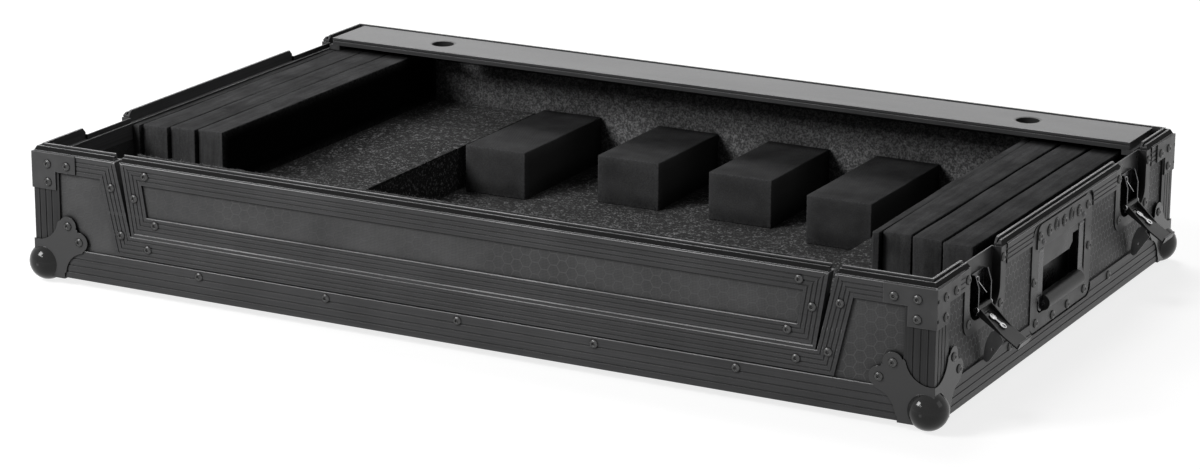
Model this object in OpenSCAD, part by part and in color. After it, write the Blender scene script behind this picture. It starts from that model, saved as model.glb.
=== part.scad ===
// Base of a wheeled flight case: a laminated tray with a lift-out front panel,
// a lift-off rear cover, four open draw latches, a pull handle and two wheels.
// Millimetres, +Z up, front at -Y, origin under the middle of the case.

/* [Case] */
// Width over the side edging
case_w = 930; // [900:5:980]
// Depth over the front and rear edging
case_d = 590; // [560:5:640]
// Height of the outer shoulder of the rim above the underside
wall_h = 122; // [120:1:130]
// Thickness of the wall boards
board_t = 9; // [8:0.5:10]
// Thickness of the bottom board
floor_t = 8; // [6:0.5:9]
// Height of the edging above the ground
ride_h = 8; // [7.5:0.5:12]

/* [Edging] */
// Width of each leg of the corner edging
edge_w = 29; // [27:0.5:30]
// Thickness of the edging metal
edge_t = 2; // [1.5:0.1:2.5]
// Depth of the grooves in the edging
groove_d = 0.6; // [0.3:0.1:0.9]
// Width of the grooves in the edging
groove_w = 1.4; // [1:0.1:2]
// Distance between grooves on the corner edging
groove_step = 6.9; // [6:0.1:7]
// Distance between grooves on the narrow strips
fine_step = 4.3; // [4:0.1:4.5]
// Width of the outer face of the rim
rim_face = 19; // [18:0.5:20]
// Depth of the board seat below the rim shoulder
rim_seat = 10; // [9:0.5:11]
// Height of the rim tongue above its shoulder
tongue_h = 6; // [4:0.5:7]
// Drop of the inner ledge below the rim shoulder
ledge_drop = 5.5; // [4:0.5:6]
// Length of the rim's inner leg below the ledge
inner_leg = 16; // [12:1:18]
// Thickness of the inner legs of the rim and trims
leg_t = 2; // [1.5:0.1:2.5]

/* [Front opening] */
// Height of the sill above the underside
sill_h = 51; // [49:0.5:54]
// Width of the sill and jamb strips
trim_w = 20.5; // [19:0.5:21]
// Width of the front beside the opening at the sill
open_side = 109.5; // [105:0.5:125]
// Sideways lean of the jambs for each unit of height
jamb_lean = 0.225; // [0.2:0.005:0.24]
// Thickness of the trim across the board edges
web_t = 1.5; // [1.2:0.1:2]
// Width of the inner legs of the opening trims
trim_leg = 12; // [10:0.5:13]
// Gap between the sill and the panel
panel_gap = 0.3; // [0.2:0.1:0.8]
// Gap at the foot of each side of the panel
panel_side = 1.5; // [1:0.1:2]
// Sideways lean of the panel ends for each unit of height
panel_lean = 0.157; // [0.14:0.001:0.17]

/* [Corner hardware] */
// Thickness of the pressed steel fittings
fit_t = 1.2; // [1:0.1:1.5]
// Length of the long arm of the top brackets
bracket_arm = 49; // [46:0.5:52]
// Height of the long arm of the top brackets
bracket_h = 18.5; // [17:0.5:19]
// Length of the short arm of the top brackets
bracket_leg = 36.5; // [34:0.5:38]
// Width of the short arm of the top brackets
bracket_w = 26; // [25:0.5:27]
// Radius of the corner balls
ball_r = 18.3; // [17:0.1:18.5]
// Distance of each ball centre inside the two end faces
ball_in = 7.8; // [7:0.1:9]
// Height of each ball centre above the underside
ball_z = 11.5; // [11.3:0.1:12]
// Radius of the rivet heads
rivet_r = 4.2; // [3.8:0.1:4.4]
// Height of the rivet heads
rivet_h = 1.9; // [1.6:0.1:2.4]
// Distance between the rivets along the bottom edging
rivet_pitch = 139.5; // [130:0.5:145]

/* [Latches] */
// Distance of each latch from the front or rear face
latch_side = 110; // [105:1:115]
// Half width of the latch recess
recess_half = 35; // [33:0.5:36]
// Depth of the latch recess
recess_d = 9.6; // [9:0.1:9.7]
// Width of the flanges beside the latch recess
flange_w = 11.5; // [10:0.5:12]
// Height of the bottom of the latch plate above the underside
latch_z = 59; // [57:0.5:61]
// Height of the latch hinge above the underside
hinge_z = 77; // [76:0.5:79]
// Distance of the latch hinge inside the wall face
hinge_in = 2.5; // [2:0.1:3]
// Width of the latch arms
arm_w = 26; // [24:0.5:27]
// Length of the latch arms from the hinge
arm_len = 49.2; // [46:0.1:50]
// Angle of the open latch arms below level
arm_angle = 33.4; // [32:0.1:35]
// Thickness of the latch arm metal
arm_t = 1.5; // [1.2:0.1:1.6]
// Depth of the latch arm channel below the hinge
arm_drop = 4.5; // [4.3:0.1:5]
// Height of the sides of the latch arm above the hinge
arm_rise = 2.8; // [2.6:0.1:3.2]
// Radius of the latch hinge pins
pin_r = 1.7; // [1.5:0.1:1.9]
// Distance of the wing spindle from the latch hinge
wing_at = 24.5; // [24:0.1:25]
// Length of the latch wings
wing_len = 33; // [30:0.5:33.5]
// Width of the latch wings
wing_w = 14; // [12:0.5:14]
// Thickness of the wings
wing_t = 1.6; // [1.4:0.1:2]
// Radius of the wing spindles
spindle_r = 2.5; // [2.2:0.1:2.8]
// Radius of the latch spring wire
wire_r = 0.6; // [0.5:0.05:0.7]

/* [Handle] */
// Half width of the handle plate
handle_half = 74.5; // [73:0.5:78]
// Height of the bottom of the handle plate above the underside
handle_z = 18.5; // [17:0.5:20]
// Height of the handle plate
handle_h = 99.5; // [98:0.5:100]
// Width of the handle plate beside the recess
handle_side = 16; // [15:0.5:17]
// Width of the handle plate under the recess
handle_foot = 15; // [14:0.5:15.5]
// Width of the handle plate over the recess
handle_top = 12; // [10:0.5:14]
// Depth of the handle recess
handle_d = 16; // [13:0.5:18]
// Height of the handle pivot above the underside
pivot_z = 92; // [91.5:0.1:92.2]
// Distance of the handle pivot inside the wall face
pivot_in = 4.2; // [4:0.1:4.5]
// Distance from the pivot down to the grip
grip_drop = 50.5; // [49:0.1:50.6]
// Radius of the grip
grip_r = 7.6; // [7:0.1:7.7]
// Width of the handle straps
strap_w = 11.8; // [11:0.1:12]
// Thickness of the handle straps
strap_t = 2.2; // [2:0.1:2.3]
// Radius of the handle pivot pins
pivot_r = 1.8; // [1.6:0.1:1.9]

/* [Wheels] */
// Distance of each wheel from the front or rear face
wheel_side = 165; // [164:1:185]
// Radius of the wheels
wheel_r = 24; // [23:0.5:24]
// Width of the wheels
wheel_w = 20; // [18:0.5:22]
// Height of the wheel centre above the underside
wheel_z = 18; // [17.5:0.5:18.5]
// Distance of the wheel centre inside the wall face
wheel_in = 7; // [6:0.5:8]
// Thickness of the tyre
tyre_t = 6; // [4:0.5:8]
// Radius of the wheel axles
axle_r = 4; // [3:0.1:5]
// Gap round each wheel in its well
well_gap = 1.5; // [1.2:0.1:2]

/* [Inside] */
// Thickness of the carpet
carpet_t = 3; // [2.5:0.5:3.5]
// Thickness of the side linings
lining_t = 2; // [1.5:0.1:2]
// Height of the raised platforms above the underside
step_z = 57; // [56:0.5:58]
// Thickness of the platform boards
step_t = 8; // [7:0.5:8]
// Width of the left platform
left_step = 215; // [207:1:217]
// Width of the right platform
right_step = 187; // [177:1:197]
// Height of the foam strips
strip_h = 58; // [50:0.5:58]
// Thickness of the thick foam strips
strip_t = 28; // [26:0.5:28]
// Thickness of the thin foam strips
thin_t = 7.5; // [6:0.5:8]
// Gap between the left foam strips
left_gap = 0.8; // [0.5:0.1:1]
// Gap between the right foam strips
right_gap = 3.3; // [2:0.1:3.5]
// Gap between the right foam strips and the wall
strip_air = 17; // [12:1:20]
// Width of the foam blocks
block_w = 69; // [64:1:72]
// Height of the foam blocks
block_h = 49; // [44:1:52]
// Depth of the rear cover
cover_d = 64.5; // [60:0.5:70]
// Thickness of the rear cover
cover_t = 7.5; // [7:0.5:8]
// Gap at each end of the rear cover
cover_gap = 4; // [2:0.5:5]
// Radius of the finger holes
finger_r = 11.75; // [10:0.25:13]
// Distance of the finger holes from the side linings
finger_in = 121; // [102:1:152]
// Thickness of the trim on the front of the cover
cover_trim_t = 2.5; // [2:0.1:3]
// Width of the battens that carry the cover
rest_w = 12; // [10:0.5:14]
// Radius of the rubber feet
foot_r = 14; // [12:0.5:18]
// Distance of the feet inside the case faces
foot_in = 65; // [55:1:80]

/* [Hidden] */

// Fineness of curves, gaps of turning fits, beside moving faces, round recesses and at mitres
fine = 48;
turn_gap = 0.05;
side_gap = 0.35;
notch_gap = 0.3;
mitre_gap = 0.3;

// How far cutting shapes run past the faces they cut
cut = 1;

// Inner faces of the boards and of the lined walls
board_in = edge_t + board_t;
wall_in = board_in + lining_t;
carpet_in = board_in + carpet_t;
floor_z = edge_t + floor_t;
carpet_z = floor_z + carpet_t;
half_w = case_w / 2;
half_d = case_d / 2;
in_w = half_w - wall_in;
in_d = half_d - carpet_in;
open_half = half_w - open_side;
latch_at = half_d - latch_side;
wheel_at = half_d - wheel_side;
seat_z = wall_h - rim_seat;
ledge_z = wall_h - ledge_drop;
leg_z = ledge_z - inner_leg;
face_z = wall_h - rim_face;

// Rim tongue: where its two ridges start and end, how high each is, and the bevel of its cut ends
ridge_a = [3, 4.8];
ridge_b = [6.6, 8.6];
ridge_low = tongue_h - 2;
valley = 1.5;
shoulder_cut = 0.9;
end_bevel = 2.5;

// Rivet head: radii and heights of the dome and of the hollow mandrel hole
mandrel_r = 1.3;
mandrel_d = 1;

// Latch plate, recess, bracket, cam and wing
dish_half = recess_half + flange_w;
dish_corner = 14;
recess_corner = 18;
recess_foot = 10;
notch_half = recess_half + fit_t + notch_gap;
recess_z = latch_z + recess_foot;
plate_y = edge_t - fit_t;
plate_gap = 1.5;
cheek_u = arm_w / 2 + side_gap;
cheek_t = 1.5;
cheek_top = 30.5;
cheek_bend = 19;
cheek_y = [0.8, 4.4];
cheek_foot = 5.5;
eye_wall = 1.2;
side_len = 34.5;
lip_h = 6;
lip_lean = 8;
cam_reach = 11.5;
cam_w = 7;
cam_ring = 1.6;
cam_t = 1.2;
fork_half = 5.4;
fork_t = 1.5;
fold_drop = 4.1;
fold_r = 0.8;
knuckle_r = 1.5;
spring_peg = [-10.2, 26.8];
spring_foot = [9.5, 9.5];
spring_y = 4.4;
spring_loop = 3.2;
peg_r = 1.1;
wing_out = 9.3;

// Handle: recess, straps and stop plate
bay_half = handle_half - handle_side;
bay_corner = 9;
bay_low = handle_z + handle_foot;
bay_top = handle_z + handle_h - handle_top;
strap_u = bay_half - 2 - strap_w;
strap_y = 2.6;
eye_r = pivot_r + 1.3;
grip_in = 1.4;
grip_z = pivot_z - grip_drop;
rod_r = 2.6;
stop_half = handle_half - 10;
stop_low = pivot_z + 4;
stop_tab = pivot_z - 17;
stop_cut = [21.5, 29.5, pivot_z - 4];
stop_slot = [3, 6, 2.9];
stop_slot_at = 18.5;
stop_slot_z = handle_z + handle_h - 7.8;
stop_corner = [0.5, 9];
handle_corner = [10, 14];
dome_z = pivot_z + 8.8;

// Wheel well walls round the wheel
well_half = wheel_w / 2 + 2;
well_back = wheel_in + wheel_r + well_gap;
well_top = wheel_z + wheel_r + well_gap;
well_t = 1.5;
axle_head = 1.6;
well_cut = well_half + well_t + axle_head + 0.4;
well_top_edge = well_top + 8;
well_flange = 12;
well_corner = [2, 6];
hub_in = 0.3;

// Inner edges of the platforms, finger holes, and rivets of the bottom edging from the faces
step_left = left_step - in_w;
step_right = in_w - right_step;
finger_at = in_w - finger_in;
rivet_z = edge_w - 6.2;
rivet_left = [100, 230];
rivet_right = 171;

// Foam strips: space in front of each. Foam blocks: place along the floor and length
left_space = [132, 138, 143, 148];
right_space = [141, 147, 142, 137];
block_share = [0.0886, 0.3616, 0.6135, 0.8546];
block_len = [166, 136, 139, 169];

// Cover: underside, middle and front face
cover_z = wall_h + tongue_h - cover_t;
cover_back = in_d - 0.5;
cover_front = cover_back - cover_d;
rest_t = cover_z - step_z - strip_h - 0.3;
rest_len = case_w - 330;
rib_t = 9;
rib_in = 6;

// Points of evenly spaced grooves along a straight face
function grooves(count, first, step) = [for (i = [0:count - 1], k = [0:3])
    [first + i * step + (k < 2 ? -1 : 1) * groove_w / 2, k == 1 || k == 2 ? groove_d : 0]];
function swapped(pts) = [for (i = [len(pts) - 1:-1:0]) [pts[i][1], pts[i][0]]];

// Half width of the opening or panel at a height, moved out by a distance
function lean_half(foot, lean, z0, z, out) = foot + lean * (z - z0) + out * sqrt(1 + lean * lean);
function jamb_x(z, out) = lean_half(open_half, jamb_lean, sill_h, z, out);
panel_z = sill_h + panel_gap;
function panel_x(z, out) = lean_half(open_half - panel_side, panel_lean, panel_z, z, out);

// Places each child on the outer face of a wall: X along it, Y inwards, Z up
module on_front() translate([0, -half_d, ride_h]) children();
module on_rear() translate([0, half_d, ride_h]) rotate([0, 0, 180]) children();
module on_right() translate([half_w, 0, ride_h]) rotate([0, 0, 90]) children();
module on_left() translate([-half_w, 0, ride_h]) rotate([0, 0, -90]) children();
module on_sides() { on_right() children(); on_left() children(); }
module both_ways(at) { translate([at, 0, 0]) children(); translate([-at, 0, 0]) children(); }
module mirrored() { children(); mirror([1, 0, 0]) children(); }

// Places each child at the four corners, its X and Y running inwards along the walls
module at_corners() mirrored() {
    translate([-half_w, -half_d, ride_h]) children();
    mirror([0, 1, 0]) translate([-half_w, -half_d, ride_h]) children();
}
module two_faces() { children(); mirror([1, -1, 0]) children(); }

// Extrudes a Y-Z outline along X, or an X-Z outline inwards between two depths
module along_x(len) translate([-len / 2, 0, 0]) rotate([90, 0, 90]) linear_extrude(len) children();
module inwards(from, to) translate([0, to, 0]) rotate([90, 0, 0]) linear_extrude(to - from) children();

// Cuts a wall piece at 45 degrees where two walls meet
module mitred(len, depth, top) intersection() {
    children();
    translate([0, 0, -cut]) linear_extrude(top + 2 * cut) polygon([[-len / 2, 0],
        [len / 2, 0], [len / 2 - depth, depth], [depth - len / 2, depth]]);
}

// Corner angle with three grooves on each outer face
module angle_outline() polygon(concat([[0, 0]],
    grooves(3, groove_step - 0.4, groove_step),
    [[edge_w, 0], [edge_w, edge_t], [edge_t, edge_t], [edge_t, edge_w], [0, edge_w]],
    swapped(grooves(3, groove_step - 0.4, groove_step))));

module bottom_edge(len) mitred(len - mitre_gap, edge_w, edge_w) along_x(len) angle_outline();

// Rim section: grooved outer leg, board seat, inner leg, and two ridges on top
module rim_outline() polygon(concat(
    [[0, wall_h - shoulder_cut], [shoulder_cut, wall_h],
    [ridge_a[0], wall_h + ridge_low], [ridge_a[1], wall_h + ridge_low],
    [ridge_a[1], wall_h + valley], [ridge_b[0], wall_h + valley],
    [ridge_b[0], wall_h + tongue_h], [ridge_b[1], wall_h + tongue_h], [ridge_b[1], ledge_z],
    [wall_in, ledge_z], [wall_in, leg_z], [wall_in - leg_t, leg_z], [wall_in - leg_t, seat_z],
    [edge_t, seat_z], [edge_t, face_z], [0, face_z]],
    [for (p = grooves(3, face_z + fine_step, fine_step)) [p[1], p[0]]]));

module rim(len) mitred(len, wall_in, wall_h + tongue_h) along_x(len) rim_outline();

// Cuts for the latches: rim and board at the recess, bevelled ridge ends, and face at the plate
module latch_notch() both_ways(latch_at) {
    translate([-notch_half, -cut, recess_z - fit_t - notch_gap])
        cube([2 * notch_half, board_in + cut, wall_h]);
    inwards(-cut, board_in + cut) for (s = [-1, 1]) polygon([[0, wall_h + ridge_low - end_bevel],
        [s * notch_half, wall_h + ridge_low - end_bevel],
        [s * (notch_half + wall_h), 2 * wall_h + ridge_low - end_bevel], [0, 2 * wall_h]]);
    translate([-dish_half - plate_gap, -cut, latch_z])
        cube([2 * (dish_half + plate_gap), edge_t + cut, wall_h - latch_z]);
}

// Cuts for the handle: round its plate in the face, and round its recess between two depths
module handle_notch(from, to) inwards(from, to) plate(handle_half + plate_gap,
    handle_z - plate_gap, handle_z + handle_h + plate_gap, bay_corner, bay_corner);
module bay_notch(from, to) inwards(from, to) plate(bay_half + fit_t + notch_gap,
    bay_low - fit_t - notch_gap, bay_top + fit_t + notch_gap, bay_corner, bay_corner);

// Four sided ring in the plane of the front: outline moved in by a, less the outline moved in by b
module jamb_ring(a, b) difference() {
    jamb_area(a);
    jamb_area(b);
}
module jamb_area(out) polygon([[-jamb_x(sill_h - out, out), sill_h - out],
    [jamb_x(sill_h - out, out), sill_h - out],
    [jamb_x(wall_h + tongue_h + cut, out), wall_h + tongue_h + cut],
    [-jamb_x(wall_h + tongue_h + cut, out), wall_h + tongue_h + cut]]);
module panel_area(in) polygon([[-panel_x(panel_z + in, -in), panel_z + in],
    [panel_x(panel_z + in, -in), panel_z + in],
    [panel_x(wall_h + tongue_h + cut, -in), wall_h + tongue_h + cut],
    [-panel_x(wall_h + tongue_h + cut, -in), wall_h + tongue_h + cut]]);

// Area of the front over the slanted joints between the jambs or panel ends and the rim strips
module jamb_cap(side) polygon([[side * jamb_x(wall_h, 0), wall_h],
    [side * jamb_x(face_z, trim_w), face_z], [side * jamb_x(face_z, trim_w), face_z - 2 * cut],
    [side * half_w, face_z - 2 * cut], [side * half_w, wall_h + tongue_h + cut],
    [side * jamb_x(wall_h + tongue_h + cut, 0), wall_h + tongue_h + cut]]);
module panel_cap() polygon([[-panel_x(wall_h, 0), wall_h],
    [-panel_x(face_z, -trim_w), face_z], [-panel_x(face_z, -trim_w), face_z - 2 * cut],
    [panel_x(face_z, -trim_w), face_z - 2 * cut], [panel_x(face_z, -trim_w), face_z],
    [panel_x(wall_h, 0), wall_h], [panel_x(wall_h + tongue_h + cut, 0), wall_h + tongue_h + cut],
    [-panel_x(wall_h + tongue_h + cut, 0), wall_h + tongue_h + cut]]);

// Rounded rectangle from half width, low and high edge, with the chosen corners rounded
module plate(half, low, high, corner, top_corner) {
    translate([-half + corner, low]) square([2 * (half - corner), corner]);
    translate([-half, low + corner]) square([2 * half, high - low - corner - top_corner]);
    translate([-half + top_corner, high - corner - top_corner])
        square([2 * (half - top_corner), corner + top_corner]);
    for (s = [-1, 1]) {
        translate([s * (half - corner), low + corner]) circle(corner, $fn = fine);
        if (top_corner > 0) translate([s * (half - top_corner), high - top_corner])
            circle(top_corner, $fn = fine);
    }
}

// Rivet heads sit on a wall face and point outwards
module rivet() rotate([90, 0, 0]) rotate_extrude($fn = fine) polygon([
    [0, 0], [rivet_r, 0], [rivet_r, 0.25 * rivet_h], [0.87 * rivet_r, 0.65 * rivet_h],
    [0.62 * rivet_r, 0.92 * rivet_h], [mandrel_r + 0.2, rivet_h],
    [mandrel_r, rivet_h - mandrel_d], [0, rivet_h - mandrel_d]]);
module rivets_at(pts, out) for (p = pts) translate([p[0], -out, p[1]]) rivet();

module bottom_board() color("burlywood") translate([0, 0, ride_h + edge_t]) difference() {
    translate([-half_w + board_in, -half_d + board_in, 0])
        cube([case_w - 2 * board_in, case_d - 2 * board_in, floor_t]);
    for (s = [-1, 1]) translate([-half_w, s * wheel_at - well_cut, -cut])
        cube([well_back + well_t + notch_gap, 2 * well_cut, floor_t + 2 * cut]);
}

module front_board() color("dimgray") on_front() difference() {
    translate([-half_w + edge_t, edge_t, edge_t])
        cube([case_w - 2 * edge_t, board_t, seat_z - edge_t]);
    inwards(0, board_in + cut) jamb_area(web_t);
}

module rear_board() color("dimgray") on_rear() translate([-half_w + edge_t, edge_t, edge_t])
    cube([case_w - 2 * edge_t, board_t, seat_z - edge_t]);

module side_board() translate([-half_d + board_in, edge_t, edge_t])
    cube([case_d - 2 * board_in, board_t, seat_z - edge_t]);

module left_board() color("dimgray") on_left() difference() {
    side_board();
    latch_notch();
    both_ways(wheel_at) translate([-well_cut, 0, 0])
        cube([2 * well_cut, board_in + cut, well_top + well_t + notch_gap]);
}

module right_board() color("dimgray") on_right() difference() {
    side_board();
    latch_notch();
    bay_notch(0, board_in + cut);
}

module bottom_edging() color("gray") {
    on_front() bottom_edge(case_w);
    on_rear() bottom_edge(case_w);
    on_right() difference() {
        bottom_edge(case_d);
        handle_notch(-cut, edge_t);
    }
    on_left() difference() {
        bottom_edge(case_d);
        both_ways(wheel_at) {
            translate([-well_cut, -cut, -cut]) cube([2 * well_cut, edge_w + 2 * cut, edge_w]);
            translate([-well_half - well_flange - plate_gap, -cut, -cut])
                cube([2 * (well_half + well_flange + plate_gap), edge_t + cut, edge_w + 2 * cut]);
        }
    }
}

module corner_posts() color("gray") at_corners()
    translate([0, 0, edge_w]) linear_extrude(face_z - edge_w) angle_outline();

// The front rim stops at the jambs: its outer leg is mitred, the rest is cut square
module rim_front() color("silver") on_front() for (side = [-1, 1]) {
    intersection() {
        rim(case_w);
        inwards(0, edge_t) jamb_cap(side);
    }
    difference() {
        intersection() {
            rim(case_w);
            translate([side > 0 ? 0 : -half_w, edge_t, 0])
                cube([half_w, case_d / 2, wall_h + tongue_h]);
        }
        inwards(0, wall_in + cut) jamb_area(web_t);
        inwards(board_in, wall_in + cut) jamb_area(trim_leg);
    }
}
module rim_rear() color("silver") on_rear() rim(case_w);
module rim_left() color("silver") on_left() difference() {
    rim(case_d);
    latch_notch();
}
module rim_right() color("silver") on_right() difference() {
    rim(case_d);
    latch_notch();
    handle_notch(-cut, edge_t);
    bay_notch(board_in - cut, wall_in + cut);
}

// Sill and two jambs: grooved outer strip, web over the board edge and inner leg
module opening_trim() color("silver") on_front() difference() {
    union() {
        difference() {
            inwards(0, edge_t) jamb_ring(trim_w, 0);
            for (k = [1:4]) inwards(-cut, groove_d)
                jamb_ring(k * fine_step - 0.5 + groove_w / 2, k * fine_step - 0.5 - groove_w / 2);
            for (side = [-1, 1]) inwards(-cut, edge_t + cut) jamb_cap(side);
        }
        inwards(edge_t, board_in) jamb_ring(web_t, 0);
        inwards(board_in, wall_in) jamb_ring(trim_leg, 0);
    }
    translate([-half_w, -cut, wall_h]) cube([case_w, case_d / 2, wall_h]);
}

// Pressed bracket over each top corner, with two gussets on its fold
module corner_brackets() color("dimgray") at_corners() difference() {
    two_faces() inwards(-fit_t, 0) polygon([
        [-fit_t, wall_h - bracket_leg], [bracket_w, wall_h - bracket_leg],
        [bracket_w, wall_h - bracket_h], [bracket_arm, wall_h - bracket_h],
        [bracket_arm, wall_h - shoulder_cut], [-fit_t, wall_h - shoulder_cut]]);
    for (z = bracket_rows) translate([-fit_t, -fit_t, z]) rotate([0, 0, 45])
        translate([0, 0, -1.5]) cube([2 * fit_t, 2 * fit_t, 3]);
}
bracket_rows = [wall_h - 11.5, wall_h - 29.2];
bracket_pts = [[17.2, bracket_rows[0]], [39, bracket_rows[0]], [17.2, bracket_rows[1]]];

// Outline of the ball corner on a wall: two lobes and two hollow flanks
lobe_r = 9.5;
flank_r = 24;
ball_pts = [[38.2, 51.6], [50.8, 37.2]];
module ball_plate() difference() {
    union() {
        for (p = ball_pts) translate(p) circle(lobe_r, $fn = fine);
        polygon([[-fit_t, -fit_t], [33, -fit_t], [33, 4], [55, 28], [51, 37],
            [49, 49], [38, 51.5], [28.5, 56], [4, 34.5], [-fit_t, 35]]);
    }
    translate([3, 58.6]) circle(flank_r, $fn = fine);
    translate([58.6, 3]) circle(flank_r, $fn = fine);
}
module ball_corners() color("black") at_corners() {
    difference() {
        translate([ball_in, ball_in, ball_z]) sphere(ball_r, $fn = fine);
        translate([-fit_t / 2, -fit_t / 2, -fit_t / 2]) cube(3 * ball_r);
    }
    two_faces() inwards(-fit_t, 0) ball_plate();
    translate([0, 0, -fit_t]) linear_extrude(fit_t) intersection() {
        translate([-fit_t, -fit_t]) square(33 + fit_t);
        circle(33 + fit_t, $fn = fine);
    }
}

// Rivets of the edging, trims, brackets and ball corners
module body_rivets() color("black") {
    on_front() rivets_at([for (i = [-2:2]) [i * rivet_pitch, rivet_z]], 0);
    on_rear() rivets_at([for (i = [-2:2]) [i * rivet_pitch, rivet_z]], 0);
    on_right() mirrored() rivets_at([[half_d - rivet_right, rivet_z]], 0);
    on_left() mirrored() rivets_at([for (d = rivet_left) [half_d - d, rivet_z]], 0);
    on_front() mirrored() rivets_at([[jamb_x(sill_h, 0) - 19.5, sill_h - trim_w / 2],
        [jamb_x(sill_h, trim_w / 2), sill_h], [jamb_x(wall_h - 26, trim_w / 2), wall_h - 26]], 0);
    at_corners() two_faces() {
        rivets_at(bracket_pts, fit_t);
        rivets_at(ball_pts, fit_t);
    }
}

// Rivets of the latch plates, the handle plate and the wheel wells
latch_pts = [[dish_half - 6.7, wall_h - 11], [dish_half - 10.4, latch_z + 11]];
module fitting_rivets() color("black") {
    on_sides() both_ways(latch_at) mirrored() rivets_at(latch_pts, -plate_y);
    on_right() {
        mirrored() rivets_at([[handle_half - 6, handle_z + 48], [handle_half - 13.7, handle_z + 7.8],
            [18.7, handle_z + 4.5]], -plate_y);
        rivets_at([for (u = [-60, -37, 0, 37, 60]) [u, stop_slot_z - 2.3]], fit_t - plate_y);
    }
    on_left() both_ways(wheel_at) mirrored()
        rivets_at([for (z = [6, well_top_edge - 5.5]) [well_half + well_flange - 5.4, z]], -plate_y);
}

// Latch plate with its recess, open at the rim
module latch_dishes() color("dimgray") on_sides() both_ways(latch_at) difference() {
    union() {
        inwards(plate_y, edge_t) plate(dish_half, latch_z, wall_h - shoulder_cut, dish_corner, 0);
        inwards(edge_t, recess_d + fit_t)
            plate(recess_half + fit_t, recess_z - fit_t, wall_h - shoulder_cut, recess_corner, 0);
    }
    inwards(-cut, recess_d) plate(recess_half, recess_z, wall_h + cut, recess_corner, 0);
}

// Bracket in the recess: back plate, two cheeks that hold the hinge pin, and a spring peg
module latch_brackets() color("gray") on_sides() both_ways(latch_at) difference() {
    union() {
        translate([-cheek_u - cheek_t, recess_d - cheek_t, hinge_z - cheek_foot])
            cube([2 * (cheek_u + cheek_t), cheek_t, cheek_top + cheek_foot]);
        for (s = [-1, 1]) translate([s * (cheek_u + cheek_t / 2), 0, 0]) {
            along_x(cheek_t) polygon([[recess_d - cheek_t / 2, hinge_z - cheek_foot],
                [recess_d - cheek_t / 2, hinge_z + cheek_top], [cheek_y[1], hinge_z + cheek_top],
                [cheek_y[0], hinge_z + cheek_bend], [cheek_y[0], hinge_z],
                [hinge_in, hinge_z - cheek_foot]]);
            translate([0, hinge_in, hinge_z]) rotate([0, 90, 0])
                cylinder(h = cheek_t, r = pin_r + eye_wall, center = true, $fn = fine);
        }
        translate([spring_peg[0], recess_d - cheek_t / 2, hinge_z + spring_peg[1]]) rotate([90, 0, 0])
            cylinder(h = recess_d - cheek_t / 2 - spring_y + (spring_loop / 2 + 1) * wire_r,
                r = peg_r, $fn = fine);
    }
    translate([0, hinge_in, hinge_z]) rotate([0, 90, 0])
        cylinder(h = 2 * arm_w, r = pin_r + turn_gap, center = true, $fn = fine);
}

module latch_pins() color("silver") on_sides() both_ways(latch_at)
    translate([0, hinge_in, hinge_z]) rotate([0, 90, 0]) {
        cylinder(h = 2 * (cheek_u + cheek_t) + 1.2, r = pin_r, center = true, $fn = fine);
        for (s = [-1, 1]) translate([0, 0, s * (cheek_u + cheek_t + 0.7)])
            cylinder(h = 1.4, r = pin_r + 0.9, center = true, $fn = fine);
    }

// Route of the latch spring: a loop round its peg, then a straight leg to the hinge
loop_turn = 24;
loop_rings = 27;
loop_r = peg_r + wire_r + 0.3;
function spring_pt(i) = i <= loop_rings
    ? [loop_r * cos(-60 - 360 * i / loop_turn), -spring_loop * wire_r * i / loop_rings,
        loop_r * sin(-60 - 360 * i / loop_turn)]
    : [spring_foot[0] - spring_peg[0], -spring_loop * wire_r, spring_foot[1] - spring_peg[1]];
spring_path = [for (i = [0:loop_rings + 1]) spring_pt(i)];
spring_gap = min([for (i = [0:loop_rings - loop_turn])
    norm(spring_path[i + loop_turn] - spring_path[i])]) - 2 * wire_r;
echo(spring_gap = spring_gap);

// Sweeps a round wire along a list of points
function unit(v) = v / norm(v);
function tangent(p, i) = unit(p[min(i + 1, len(p) - 1)] - p[max(i - 1, 0)]);
function ring(p, i, r, n) = let (t = tangent(p, i), a = unit(cross(t, [0.03, 1, 0.02])),
    b = cross(t, a)) [for (k = [0:n - 1]) p[i] + r * (cos(360 * k / n) * a + sin(360 * k / n) * b)];
module wire(p, r, n) polyhedron(
    points = [for (i = [0:len(p) - 1]) each ring(p, i, r, n)],
    faces = concat(
        [for (k = [1:n - 2]) [0, k, k + 1]],
        [for (i = [0:len(p) - 2], k = [0:n - 1]) [i * n + k, (i + 1) * n + k, i * n + (k + 1) % n]],
        [for (i = [0:len(p) - 2], k = [0:n - 1])
            [i * n + (k + 1) % n, (i + 1) * n + k, (i + 1) * n + (k + 1) % n]],
        [for (k = [1:n - 2]) [(len(p) - 1) * n, (len(p) - 1) * n + k + 1, (len(p) - 1) * n + k]]));
module latch_springs() color("gold") on_sides() both_ways(latch_at)
    translate([spring_peg[0], spring_y + spring_loop * wire_r / 2, hinge_z + spring_peg[1]])
    wire(spring_path, wire_r, 6);

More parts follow.
